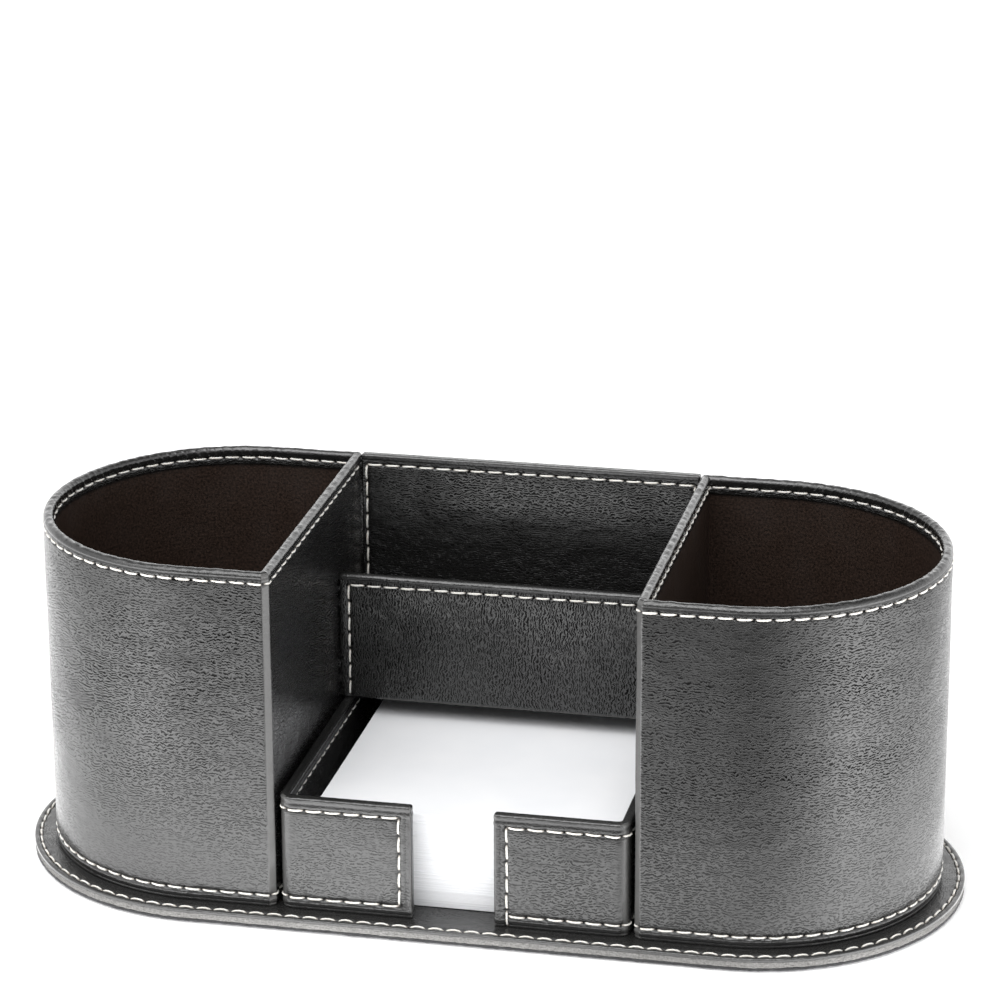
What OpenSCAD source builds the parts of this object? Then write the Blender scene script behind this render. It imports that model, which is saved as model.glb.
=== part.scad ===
// Leather-wrapped desk organiser: two D-shaped pen cups joined by a back panel,
// a phone slot between them, and a note tray in front, all on one base mat.
// Front is -Y, +X is right, z = 0 is the desk. The origin is the centre of the footprint.
// The cup walls are a board core, a leather skin that turns over the rim, and a thin lining.

/* [Cups] */
// Height of the cup rims and the back panel above the desk
rim_h = 88.2; // [78:0.1:110]
// Clear width of the bay between the flat walls of the two cups
bay_w = 87; // [80:0.5:100]
// Front-to-back depth of the cups, which is twice the radius of their round ends
cup_d = 92; // [84:0.5:100]
// Straight length of each cup between its flat wall and its round end
cup_straight = 21.5; // [12:0.5:32]
// Outer radius of the front corner where the skin turns from the flat wall to the front
front_corner_r = 2.5; // [2:0.25:8]
// Outer radius of the rear corner where the skin turns from the flat wall to the back
rear_corner_r = 1.2; // [1:0.1:2]

/* [Base] */
// Thickness of the whole base mat
base_t = 3.2; // [2.8:0.1:5]
// How far the base mat stands out past the cups
base_margin = 5.5; // [4:0.5:12]
// Distance of the base stitching from the edge of the mat
base_stitch_in = 1.6; // [1.2:0.1:3]

/* [Walls] */
// Thickness of the leather skin
skin_t = 0.7; // [0.6:0.1:1.1]
// Thickness of the board core in the walls
board_t = 1.1; // [1:0.1:1.8]
// Thickness of the lining sheet
lining_t = 0.5; // [0.3:0.1:0.6]
// How far the skin turns down inside the rim
hem_h = 4.4; // [4.2:0.2:7]
// Distance of the rim stitching below the rim
rim_stitch_in = 2.7; // [2.4:0.1:3.6]
// Distance of the foot stitching above the base
foot_stitch_in = 2.8; // [2.2:0.1:4]

/* [Phone slot] */
// Front face of the slot panel, measured back from the middle of the base
slot_y = 18.2; // [8:0.2:22]
// Height of the top edge of the slot panel above the desk
slot_top = 65; // [55:0.5:75]

/* [Note tray] */
// Height of the tray walls, which also carry the shelf of the phone slot
tray_h = 32; // [28:0.5:38]
// Gap between the outside of the tray and the flat wall of each cup
tray_clear = 0.9; // [0.9:0.1:2]
// Width of the thumb gap in the front of the tray
thumb_gap = 19.8; // [16:0.2:30]
// Outer radius of the front corners of the tray
tray_corner_r = 3.5; // [1.5:0.1:4.5]
// Distance of the tray stitching from the top edge and from the thumb gap
tray_stitch_in = 3.2; // [2.4:0.1:3.6]

/* [Note sheets] */
// Width and depth of one square note sheet
note_size = 75; // [70:0.5:75]
// Height of the stack of sheets
note_stack_h = 24; // [5:0.5:24]
// Sideways offset of the stack in the tray
note_shift = 2; // [-2:0.1:2]

/* [Stitching] */
// Width of the thread
thread_w = 0.7; // [0.4:0.1:1]
// How far the thread stands out of the leather
thread_t = 0.35; // [0.2:0.05:0.4]

/* [Hidden] */
$fn = 128;
cut = 1;      // overrun of cutting shapes
fit = 0.02;   // glue line between layers

// Wall layers, as insets from the outer face
board_in = skin_t + fit;             // outer face of the board
board_back_in = board_in + board_t;  // inner face of the board
inner_in = board_back_in + fit;      // where the hem and lining start
wall_t = inner_in + skin_t;          // whole wall with skin on both faces
lined_t = inner_in + lining_t;       // whole wall where it is lined

// Cups and bay
cup_r = cup_d/2;
wall_x = bay_w/2;                    // outer face of each flat wall
cup_centre_x = wall_x + cup_straight;
panel_x = wall_x - fit;              // half width of the panels that fill the bay
panel_board_x = panel_x - board_in;  // half width of the boards in those panels
back_y = cup_r - wall_t;             // front face of the back panel
shelf_z = tray_h + fit;              // underside of the slot's shelf

// Stitching
thread_half = thread_w/2;
rim_seam_z = rim_h - rim_stitch_in;
foot_seam_z = base_t + foot_stitch_in;
seam_end_gap = 1;                    // gap from the end of a seam to a shelf, seam or panel edge

leather = [0.07, 0.07, 0.07];
liner = [0.10, 0.08, 0.07];
greyboard = [0.45, 0.42, 0.38];
felt = [0.16, 0.16, 0.17];
thread = [0.93, 0.91, 0.86];
paper = [0.97, 0.97, 0.98];

// ---------- shared shapes ----------

// A box given by its low and high corners
module span(low, high) translate(low) cube(high - low);

// Upright prism of a flat outline between two heights
module upright(z0, z1) translate([0, 0, z0]) linear_extrude(z1 - z0) children();

// Turns a piece drawn on one side into its twin on the other
module mirrored() mirror([1, 0, 0]) children();

// Radius of a rounded corner after its outline is inset
function inset_radius(radius, inset) = max(radius - inset, 0.1);

// What rounding removes from a corner at x, y; side is -1 for a front corner, 1 for a rear one
module corner_waste(x, y, radius, side) {
  difference() {
    translate([x - cut, side > 0 ? y - radius : y - cut]) square([radius + cut, radius + cut]);
    translate([x + radius, y - side*radius]) circle(radius);
  }
}

// Seam on the front face of a bay panel: along the top and down both ends
module front_seam(face_y, half_w, bottom_z, top_z) difference() {
  span([-half_w, face_y - fit - thread_t, bottom_z], [half_w, face_y - fit, top_z + thread_half]);
  span([-half_w + thread_w, face_y - 2*cut, 0],
       [half_w - thread_w, face_y + cut, top_z - thread_half]);
}

// ---------- base mat ----------

felt_t = 0.8;
felt_in = 0.3;        // inset of the felt from the edge of the mat
base_board_in = 0.25; // inset of the board from the edge of the mat
base_cover_t = 0.8;
base_cover_z = base_t - base_cover_t;

// Outline of the base mat, inset from its edge
module base_outline(inset) {
  radius = cup_r + base_margin - inset;
  translate([-cup_centre_x, -radius]) square([2*cup_centre_x, 2*radius]);
  for (side = [-1, 1]) translate([side*cup_centre_x, 0]) circle(radius);
}
module base_prism(inset, z0, z1) upright(z0, z1) base_outline(inset);

module base_underside() color(felt) base_prism(felt_in, 0, felt_t);
module base_board() color(greyboard) base_prism(base_board_in, felt_t, base_cover_z);
module base_top_cover() color(leather) base_prism(0, base_cover_z, base_t);
module base_stitching() color(thread) difference() {
  base_prism(base_stitch_in - thread_half, base_t, base_t + thread_t);
  base_prism(base_stitch_in + thread_half, base_t - cut, base_t + cut);
}

// ---------- pen cups (drawn on the right, mirrored for the left) ----------

pad_t = 1.2;
pad_gap = 0.1;         // gap between the floor pad and the lining
seam_x = wall_x + 6;   // near edge of the upright seam

// Outline of the right cup, inset from its outer face (negative grows it)
module cup_outline(inset) {
  radius = cup_r - inset;
  x = wall_x + inset;
  difference() {
    intersection() {
      union() {
        translate([cup_centre_x, 0]) circle(radius);
        translate([x, -radius]) square([cup_centre_x - x, 2*radius]);
      }
      translate([x, -radius - cut]) square([cup_straight + 2*radius, 2*radius + 2*cut]);
    }
    corner_waste(x, -radius, inset_radius(front_corner_r, inset), -1);
    corner_waste(x, radius, inset_radius(rear_corner_r, inset), 1);
  }
}
module cup_prism(inset, z0, z1) upright(z0, z1) cup_outline(inset);

// Ring of the cup outline between two insets
module cup_ring(outer, inner, z0, z1) difference() {
  cup_prism(outer, z0, z1);
  cup_prism(inner, z0 - cut, z1 + cut);
}

// Both boards of a cup, before they are parted
module cup_board_ring() cup_ring(board_in, board_back_in, base_t, rim_h - board_in);

// Space from outside the flat wall to a given depth into it
module flat_wall_space(depth) span([wall_x - cut, -cup_r, 0], [wall_x + depth, cup_r, rim_h]);

// The bent board: front, round end and back
module cup_curved_board() color(greyboard) difference() {
  cup_board_ring();
  flat_wall_space(inner_in);
}
// The flat board of the wall that faces the bay
module cup_divider_board() color(greyboard) intersection() {
  cup_board_ring();
  flat_wall_space(board_back_in);
}
// Outer leather: up the outside, over the rim and down inside as a hem
module cup_skin() color(leather) difference() {
  cup_prism(0, base_t, rim_h);
  cup_prism(skin_t, base_t - cut, rim_h - hem_h);
  cup_prism(wall_t, base_t - cut, rim_h + cut);
  cup_ring(skin_t, inner_in, base_t, rim_h - skin_t);
}
module cup_lining() color(liner) cup_ring(inner_in, lined_t, base_t, rim_h - hem_h - fit);
module cup_floor_pad() color(liner) cup_prism(lined_t + pad_gap, base_t, base_t + pad_t);

// Level seam on both faces of a wall of the given thickness, stopping at the back panel
module cup_level_seam(z, thickness) difference() {
  for (inset = [-fit - thread_t, thickness + fit])
    cup_ring(inset, inset + thread_t, z - thread_half, z + thread_half);
  span([-bay_w, back_y - fit, 0], [wall_x, cup_r + cut, rim_h + cut]);
}
module cup_rim_stitching() color(thread) cup_level_seam(rim_seam_z, wall_t);
module cup_foot_stitching() color(thread) cup_level_seam(foot_seam_z, lined_t);

// Upright seam that closes the skin, on the back of the cup beside the back panel
module cup_seam_stitching() color(thread)
  span([seam_x, cup_r + fit, foot_seam_z + seam_end_gap],
       [seam_x + thread_w, cup_r + fit + thread_t, rim_seam_z - seam_end_gap]);

// ---------- back panel between the cups ----------

shelf_top = shelf_z + lined_t + fit;

module back_panel_board() color(greyboard)
  span([-panel_board_x, back_y + board_in, base_t],
       [panel_board_x, back_y + board_back_in, rim_h - board_in]);
module back_panel_cover() color(leather) difference() {
  span([-panel_x, back_y, base_t], [panel_x, cup_r, rim_h]);
  span([-panel_x + skin_t, back_y + skin_t, base_t - cut],
       [panel_x - skin_t, cup_r - skin_t, rim_h - skin_t]);
}
module back_panel_stitching() color(thread) {
  half_w = panel_x - seam_end_gap;
  // front face, above the shelf
  front_seam(back_y, half_w, shelf_top + seam_end_gap, rim_seam_z);
  // rear face, all round
  difference() {
    span([-half_w, cup_r + fit, foot_seam_z - thread_half],
         [half_w, cup_r + fit + thread_t, rim_seam_z + thread_half]);
    span([-half_w + thread_w, cup_r - cut, foot_seam_z + thread_half],
         [half_w - thread_w, cup_r + 2*cut, rim_seam_z - thread_half]);
  }
}

// ---------- phone slot: a front panel and a shelf, folded from one cover ----------

slot_inner_y = slot_y + inner_in;  // where the hem and lining start
slot_back_y = slot_y + wall_t;     // rear face of the panel's turned hem
shelf_end_y = back_y - 0.1;        // the shelf stops short of the back panel

module slot_panel_board() color(greyboard)
  span([-panel_board_x, slot_y + board_in, shelf_z + board_in],
       [panel_board_x, slot_y + board_back_in, slot_top - board_in]);
module slot_shelf_board() color(greyboard)
  span([-panel_board_x, slot_inner_y, shelf_z + board_in],
       [panel_board_x, shelf_end_y, shelf_z + board_back_in]);
module slot_cover() color(leather) {
  // front face, both ends, top edge and the hem behind it
  difference() {
    span([-panel_x, slot_y, shelf_z], [panel_x, slot_back_y, slot_top]);
    span([-panel_x + skin_t, slot_y + skin_t, shelf_z + skin_t],
         [panel_x - skin_t, slot_inner_y, slot_top - skin_t]);
    span([-panel_x - cut, slot_inner_y, shelf_z + skin_t],
         [panel_x + cut, slot_back_y + cut, slot_top - hem_h]);
  }
  // under the shelf
  span([-panel_x, slot_y, shelf_z], [panel_x, shelf_end_y, shelf_z + skin_t]);
}
module slot_lining() color(liner) {
  z = shelf_z + inner_in;
  // behind the panel
  span([-panel_x, slot_inner_y, z], [panel_x, slot_y + lined_t, slot_top - hem_h - fit]);
  // on the shelf
  span([-panel_x, slot_inner_y, z], [panel_x, shelf_end_y, z + lining_t]);
}
module slot_stitching() color(thread) {
  half_w = panel_x - rim_stitch_in;
  top_z = slot_top - rim_stitch_in;
  front_seam(slot_y, half_w, shelf_z + seam_end_gap, top_z);
  // the top run again, behind the top edge
  span([-half_w, slot_back_y + fit, top_z - thread_half],
       [half_w, slot_back_y + fit + thread_t, top_z + thread_half]);
}

// ---------- note tray: one L-shaped wall at each side (drawn on the left) ----------

tray_x = wall_x - tray_clear;  // outer face of the tray
tray_y = -cup_r + 0.3;         // front face, just behind the front of the cups
tray_back_y = back_y - 0.4;    // rear end, just short of the back panel
tray_seam_back_y = back_y - 3; // rear end of the level seams

// Outline of the left tray wall, inset from its faces
module tray_outline(inset) {
  x = -tray_x + inset;
  y = tray_y + inset;
  difference() {
    union() {
      translate([x, y]) square([wall_t - 2*inset, tray_back_y - tray_y - 2*inset]);
      translate([x, y]) square([tray_x - thumb_gap/2 - 2*inset, wall_t - 2*inset]);
    }
    corner_waste(x, y, inset_radius(tray_corner_r, inset), -1);
  }
}
module tray_prism(inset, z0, z1) upright(z0, z1) tray_outline(inset);

// Ring of the tray outline between two insets
module tray_ring(outer, inner, z0, z1) difference() {
  tray_prism(outer, z0, z1);
  tray_prism(inner, z0 - cut, z1 + cut);
}

module tray_board() color(greyboard) tray_prism(board_in, base_t, tray_h - board_in);
module tray_cover() color(leather) difference() {
  tray_prism(0, base_t, tray_h);
  tray_prism(skin_t, base_t - cut, tray_h - skin_t);
}
module tray_stitching() color(thread) {
  end_x = -thumb_gap/2 - tray_stitch_in;
  top_z = tray_h - tray_stitch_in;
  // level seams near the top and the foot, on both faces of the wall
  intersection() {
    union() for (z = [top_z, foot_seam_z])
      tray_ring(-fit - thread_t, -fit, z - thread_half, z + thread_half);
    span([-bay_w, -cup_d, 0], [end_x, tray_seam_back_y, tray_h]);
  }
  // upright seams beside the thumb gap, on the front and rear faces
  for (y = [tray_y - fit - thread_t, tray_y + wall_t + fit])
    span([end_x, y, foot_seam_z - thread_half],
         [end_x + thread_w, y + thread_t, top_z + thread_half]);
}

// ---------- loose note sheets ----------

tray_in_x = tray_x - wall_t;             // inner face of the tray
note_w = min(note_size, 2*tray_in_x - 1);    // the sheets are kept inside the tray walls
note_play = tray_in_x - note_w/2 - 0.2;      // furthest sideways shift
note_x = max(-note_play, min(note_play, note_shift));
note_front_y = -cup_r + 7.5;
note_depth = min(note_size, back_y - 1 - note_front_y); // kept clear of the back panel

module note_stack() color(paper)
  span([note_x - note_w/2, note_front_y, base_t + fit],
       [note_x + note_w/2, note_front_y + note_depth, base_t + note_stack_h]);

// ---------- nodes ----------

base_underside();
base_board();
base_top_cover();
base_stitching();
mirrored() cup_curved_board();  // left_cup_curved_board
mirrored() cup_divider_board();  // left_cup_divider_board
mirrored() cup_skin();  // left_cup_skin
mirrored() cup_lining();  // left_cup_lining
mirrored() cup_floor_pad();  // left_cup_floor_pad
mirrored() cup_rim_stitching();  // left_cup_rim_stitching
mirrored() cup_foot_stitching();  // left_cup_foot_stitching
mirrored() cup_seam_stitching();  // left_cup_seam_stitching
cup_curved_board();  // right_cup_curved_board
cup_divider_board();  // right_cup_divider_board
cup_skin();  // right_cup_skin
cup_lining();  // right_cup_lining
cup_floor_pad();  // right_cup_floor_pad
cup_rim_stitching();  // right_cup_rim_stitching
cup_foot_stitching();  // right_cup_foot_stitching
cup_seam_stitching();  // right_cup_seam_stitching
back_panel_board();
back_panel_cover();
back_panel_stitching();
slot_panel_board();
slot_shelf_board();
slot_cover();
slot_lining();
slot_stitching();
tray_board();  // tray_left_board
tray_cover();  // tray_left_cover
tray_stitching();  // tray_left_stitching
mirrored() tray_board();  // tray_right_board
mirrored() tray_cover();  // tray_right_cover
mirrored() tray_stitching();  // tray_right_stitching
note_stack();
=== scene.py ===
"""A leather desk organiser on a rounded mat.

A cup stands at each end, with a flat wall towards the middle and a rounded outer end. Between
and beside them are a back panel, a phone slot, two L-shaped tray walls and a stack of notes.
X runs left to right, the front faces -Y, Z is up, and the mat is centred on the origin.
Shapes are worked out in mm and turned into metres when a mesh is made.
"""
import math

import bmesh
import bpy
import numpy as np
from mathutils import Matrix, Vector
from mathutils.geometry import delaunay_2d_cdt


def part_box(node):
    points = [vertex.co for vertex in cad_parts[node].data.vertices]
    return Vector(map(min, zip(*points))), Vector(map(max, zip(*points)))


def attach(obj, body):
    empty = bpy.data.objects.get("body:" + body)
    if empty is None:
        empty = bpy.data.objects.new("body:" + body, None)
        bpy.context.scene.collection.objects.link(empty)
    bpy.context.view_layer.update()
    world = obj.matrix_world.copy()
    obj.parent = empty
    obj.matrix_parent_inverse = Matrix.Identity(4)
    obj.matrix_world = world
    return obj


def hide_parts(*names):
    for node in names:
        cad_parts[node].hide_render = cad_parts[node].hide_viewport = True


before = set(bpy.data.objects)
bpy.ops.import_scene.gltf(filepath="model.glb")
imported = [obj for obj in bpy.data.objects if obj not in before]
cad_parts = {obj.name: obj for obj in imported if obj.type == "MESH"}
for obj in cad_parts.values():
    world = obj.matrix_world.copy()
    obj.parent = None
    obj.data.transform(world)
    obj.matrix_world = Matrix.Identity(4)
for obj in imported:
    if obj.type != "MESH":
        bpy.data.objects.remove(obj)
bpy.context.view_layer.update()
ORGANISER, NOTES = "organiser", "notes"
TURN = 2 * math.pi


# ------------------------------------------------------------------ sizes from the frame, in mm
def mm(node):
    lo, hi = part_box(node)
    return np.array(lo) * 1000.0, np.array(hi) * 1000.0


def mid_z(node):
    lo, hi = mm(node)
    return float(np.mean([lo[2], hi[2]]))


cup_lo, cup_hi = mm("right_cup_skin")
lining_lo, lining_hi = mm("right_cup_lining")
cover_lo, cover_hi = mm("base_top_cover")
back_lo, back_hi = mm("back_panel_cover")
slot_lo, slot_hi = mm("slot_cover")
tray_lo, tray_hi = mm("tray_left_cover")
SEAM_EDGE = 0.35                           # a seam line lies this far inside its CAD stitching

WALL_X, REACH, CUP_R = cup_lo[0], cup_hi[0], cup_hi[1]   # flat wall, outer reach, half depth
BASE_Z, RIM_TOP = cup_lo[2], cup_hi[2]     # top of the base, top of the rim
RIM_SEAM = mid_z("right_cup_rim_stitching")
FOOT_SEAM = mid_z("right_cup_foot_stitching")
HEM_Z = lining_hi[2]                       # lower edge of the turned hem
LINING_IN = lining_lo[0] - WALL_X          # inset where the lining starts
LINING_FACE = LINING_IN + 0.5              # inset of its visible face
PANEL = back_hi[1] - back_lo[1]            # thickness of the straight panels
WALL_HEM = PANEL                           # cup wall thickness at the turned rim
SKIN = WALL_HEM - LINING_IN
FACET = 1.55                               # flattened fold at a cup's front inner corner
FACET_R = 0.8
REAR_R = 1.2                               # radius of its rear inner corner
TRAY_R = 3.5                               # outer corner of a tray wall
PITCH = 4.4                                # stitch pitch
BASE_SEAM = float(cover_hi[0] - mm("base_stitching")[1][0]) + SEAM_EDGE    # inset on the mat

# relief that all the wrapped edges share
RIM_GROOVE, RIM_SWELL = 1.45, 2.3          # below the top edge
FOOT_GROOVE, FOOT_SWELL = 0.80, 1.75       # above the base


def stitch_count(length):
    return int(round(length / PITCH))


# ------------------------------------------------------------------ node building
class Nodes:
    """Small helper for building node trees. An argument may be a socket or a plain value."""

    def __init__(self, tree):
        self.tree = tree
        for node in list(tree.nodes):
            tree.nodes.remove(node)

    def new(self, kind):
        return self.tree.nodes.new(kind)

    def put(self, socket, value):
        if value is None:
            return
        if isinstance(value, bpy.types.NodeSocket):
            self.tree.links.new(value, socket)
        else:
            socket.default_value = value

    def fill(self, node, values):
        for key, value in values.items():
            self.put(node.inputs[key], value)

    def math(self, op, a, b=None, c=None, clamp=False):
        node = self.new("ShaderNodeMath")
        node.operation = op
        node.use_clamp = clamp
        self.fill(node, {0: a, 1: b, 2: c})
        return node.outputs[0]

    def add(self, a, b):
        return self.math("ADD", a, b)

    def sub(self, a, b, clamp=False):
        return self.math("SUBTRACT", a, b, clamp=clamp)

    def mul(self, a, b, clamp=False):
        return self.math("MULTIPLY", a, b, clamp=clamp)

    def mul_add(self, a, b, c):
        return self.math("MULTIPLY_ADD", a, b, c)

    def attribute(self, name):
        node = self.new("ShaderNodeAttribute")
        node.attribute_name = name
        return node.outputs["Fac"]

    def uv(self):
        node = self.new("ShaderNodeUVMap")
        node.uv_map = "mm"
        return node.outputs[0]

    def object_place(self):
        return self.new("ShaderNodeTexCoord").outputs["Object"]

    def is_camera_ray(self):
        return self.new("ShaderNodeLightPath").outputs["Is Camera Ray"]

    def split(self, vector):
        node = self.new("ShaderNodeSeparateXYZ")
        self.put(node.inputs[0], vector)
        return node.outputs

    def noise(self, vector, stretch=None, shift=(0, 0, 0), scale=1.0, detail=3.0, rough=0.55,
              distortion=0.0, output="Fac"):
        if stretch is not None:
            mapping = self.new("ShaderNodeMapping")
            self.fill(mapping, {"Vector": vector, "Scale": stretch, "Location": shift})
            vector = mapping.outputs[0]
        node = self.new("ShaderNodeTexNoise")
        self.fill(node, {"Vector": vector, "Scale": scale, "Detail": detail,
                         "Roughness": rough, "Distortion": distortion})
        return node.outputs[output]

    def ramp(self, fac, stops):
        node = self.new("ShaderNodeValToRGB")
        elements = node.color_ramp.elements
        while len(elements) > 1:
            elements.remove(elements[-1])
        elements[0].position, elements[0].color = stops[0]
        for position, color in stops[1:]:
            elements.new(position).color = color
        self.put(node.inputs[0], fac)
        return node.outputs[0]

    def remap(self, value, old, new=(0.0, 1.0), smooth=False):
        node = self.new("ShaderNodeMapRange")
        node.interpolation_type = "SMOOTHSTEP" if smooth else "LINEAR"
        self.fill(node, {0: value, 1: old[0], 2: old[1], 3: new[0], 4: new[1]})
        return node.outputs[0]

    def mix(self, fac, a, b):
        node = self.new("ShaderNodeMix")
        node.data_type = "RGBA"
        self.fill(node, {0: fac, 6: a, 7: b})
        return node.outputs[2]

    def bump(self, height, distance, strength=1.0, normal=None):
        node = self.new("ShaderNodeBump")
        self.fill(node, {"Height": height, "Distance": distance, "Strength": strength,
                         "Normal": normal})
        return node.outputs[0]


def new_material(name):
    mat = bpy.data.materials.new(name)
    mat.use_nodes = True
    k = Nodes(mat.node_tree)
    k.output = k.new("ShaderNodeOutputMaterial")
    bsdf = k.new("ShaderNodeBsdfPrincipled")
    k.put(k.output.inputs[0], bsdf.outputs[0])
    return mat, k, bsdf


def grey(value):
    return (value, value, value, 1.0)


# ------------------------------------------------------------------ materials
def leather(name, seed, vertical=False, grain=1.0, tone=0.012, fade=None, deep=1.0):
    """Embossed black leather.

    UV map "mm" runs along the wall and up it, in mm. The mesh gives three attributes: painted
    shade in creases, seam grooves and needle holes; wear, whose paler colour is partly a painted
    highlight on corner folds and edges; and ply, which is 1 where the skin is pulled flat over an
    edge. vertical turns the wrinkles upright, fade is the share of grain left at the foot, and
    deep scales the height of the grain.
    """
    wrinkle_spacing = 0.66                                # mm
    mat, k, bsdf = new_material(name)
    place = k.uv()
    wear = k.attribute("wear")
    crease = k.attribute("crease")
    # slow bend of the grain direction
    drift = k.noise(place, stretch=(0.22, 0.22, 1), shift=(seed, 3.1, 0), detail=2.0,
                    output="Color")
    warp = k.new("ShaderNodeVectorMath")
    warp.operation = "MULTIPLY_ADD"
    k.fill(warp, {0: drift, 1: (2.2, 2.2, 0), 2: place})
    warped = warp.outputs[0]
    flat = k.attribute("ply")
    warped_x, warped_y, _ = k.split(warped)
    along, across = (warped_y, warped_x) if vertical else (warped_x, warped_y)
    combine = k.new("ShaderNodeCombineXYZ")
    k.fill(combine, {0: along, 1: across, 2: 0.0})
    turned = combine.outputs[0]
    # wrinkles: a wave across the grain, bent by two noises and broken up along its length
    bend = k.noise(turned, stretch=(0.30, 0.26, 1), shift=(seed, 0, 0), detail=1.0, rough=0.5)
    kink = k.noise(turned, stretch=(1.25, 0.55, 1), shift=(seed + 5.0, 2, 0), detail=1.5,
                   rough=0.6)
    phase = k.mul_add(across, 1.0 / wrinkle_spacing, k.mul_add(bend, 2.2, k.mul(kink, 2.0)))
    wave = k.mul_add(k.math("COSINE", k.mul(phase, TURN)), 0.5, 0.5)
    wave = k.remap(wave, old=(0.12, 0.80), smooth=True)
    broken = k.noise(turned, stretch=(1.0, 1.6, 1), shift=(seed + 11.0, 4, 0), detail=1.0,
                     rough=0.5)
    valley = k.mul(wave, k.remap(broken, old=(0.38, 0.56), new=(0.15, 1.0), smooth=True))
    fine = k.noise(warped, scale=5.0, detail=2.0, rough=0.6)
    # mostly wrinkles, with a tenth of fine grain
    height = k.mul_add(k.sub(1.0, valley), 0.9, k.mul(fine, 0.10))
    # the grain is stronger in some places, and pulled flat where the skin is stretched
    patch = k.noise(place, stretch=(0.045, 0.06, 1), shift=(seed, 1, 0), detail=2.0)
    strength = k.remap(patch, old=(0.3, 0.7), new=(0.65, 1.0))
    strength = k.mul(strength, k.sub(1.0, k.mul(flat, 0.93)))
    if fade is not None:                                  # drawn tighter towards the foot
        tight = k.remap(k.split(place)[1], old=(5.0, 50.0), new=(fade, 1.0), smooth=True)
        strength = k.mul(strength, tight)
    strength = k.mul(strength, grain, clamp=True)
    normal = k.bump(height, distance=0.000068 * deep, strength=strength)
    crinkle = k.noise(place, stretch=(1.1, 1.9, 1), shift=(seed, 7, 0), detail=2.0, rough=0.65)
    normal = k.bump(crinkle, distance=0.00013, strength=k.mul(flat, 0.8, clamp=True),
                    normal=normal)
    swell = k.noise(place, stretch=(0.09, 0.13, 1), shift=(seed, 9, 0), detail=2.0)
    normal = k.bump(swell, distance=0.0009, strength=0.5, normal=normal)
    # painted shade in grain valleys, creases and seam holes; paler where worn, partly a painted
    # highlight
    valley_shade = k.mul(k.sub(1.0, height), strength, clamp=True)
    worn_and_highlight = k.math("POWER", wear, 3.0)
    color = k.mix(valley_shade, (tone, tone * 0.99, tone * 0.975, 1),
                  (tone * 0.25, tone * 0.24, tone * 0.235, 1))
    color = k.mix(k.mul(worn_and_highlight, 0.9), color, (0.085, 0.084, 0.082, 1))
    color = k.mix(k.mul(crease, 0.9), color, (0.0035, 0.003, 0.0028, 1))
    rough = k.remap(patch, old=(0.3, 0.7), new=(0.19, 0.25))
    for cause, amount in ((valley_shade, 0.15), (crease, 0.25), (worn_and_highlight, 0.20)):
        rough = k.add(rough, k.mul(cause, amount))
    rough = k.sub(rough, k.mul(flat, 0.04))
    specular = k.sub(0.95, k.mul(crease, 0.5))
    specular = k.sub(specular, k.mul(valley_shade, 1.05), clamp=True)
    k.fill(bsdf, {"Normal": normal, "Base Color": color, "Roughness": rough,
                  "Specular IOR Level": specular})
    return mat


def lining_material():
    """Dark cloth with slubs along the wall."""
    mat, k, bsdf = new_material("dark_lining")
    place = k.uv()
    weave = k.noise(place, stretch=(1.0, 1.0, 1), scale=1.6, detail=4.0, rough=0.6)
    slub = k.noise(place, stretch=(0.12, 2.6, 1))
    height = k.mul_add(weave, 0.6, k.mul(slub, 0.4))      # shares of weave and slub
    soft = k.noise(place, stretch=(0.07, 0.05, 1), detail=2.0)
    normal = k.bump(height, distance=0.00009)
    normal = k.bump(soft, distance=0.0014, strength=0.5, normal=normal)
    crease = k.attribute("crease")
    color = k.ramp(weave, [(0.34, (0.009, 0.0058, 0.0045, 1)), (0.66, (0.046, 0.029, 0.022, 1))])
    # painted shade in folds and corners, under the hem and along the foot seam
    color = k.mix(crease, color, (0.002, 0.0016, 0.0014, 1))
    k.fill(bsdf, {"Normal": normal, "Base Color": color,
                  "Roughness": k.remap(soft, old=(0.3, 0.7), new=(0.28, 0.44)),
                  "Specular IOR Level": 0.6})
    return mat


def thread_material():
    """Pale waxed thread. u runs along the thread, v round it; ply is 1 on top of a ply."""
    mat, k, bsdf = new_material("waxed_thread")
    place = k.uv()
    fibre = k.noise(place, stretch=(3.0, 16.0, 1), rough=0.6)
    ply = k.attribute("ply")
    height = k.mul_add(fibre, 0.35, k.mul(ply, 0.65))     # shares of fibre and ply
    normal = k.bump(height, distance=0.00006, strength=0.8)
    tone = k.noise(place, stretch=(0.09, 0.4, 1), detail=2.0)
    color = k.ramp(tone, [(0.3, (0.80, 0.775, 0.72, 1)), (0.7, (0.90, 0.885, 0.85, 1))])
    # painted shade in the grooves between the two plies
    ply_gap_shade = k.remap(ply, old=(0.0, 0.5), new=(0.35, 0.0))
    color = k.mix(ply_gap_shade, color, (0.50, 0.44, 0.36, 1))
    # painted shade at the stitch ends, where they dip into the needle holes
    stitch_end_shade = k.attribute("crease")
    color = k.mix(k.mul(stitch_end_shade, 0.75), color, (0.16, 0.12, 0.09, 1))
    k.fill(bsdf, {"Normal": normal, "Base Color": color, "Roughness": 0.55,
                  "Sheen Weight": 0.25, "Sheen Roughness": 0.4, "Subsurface Weight": 0.08,
                  "Subsurface Radius": (0.0003, 0.00025, 0.0002)})
    return mat


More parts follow.
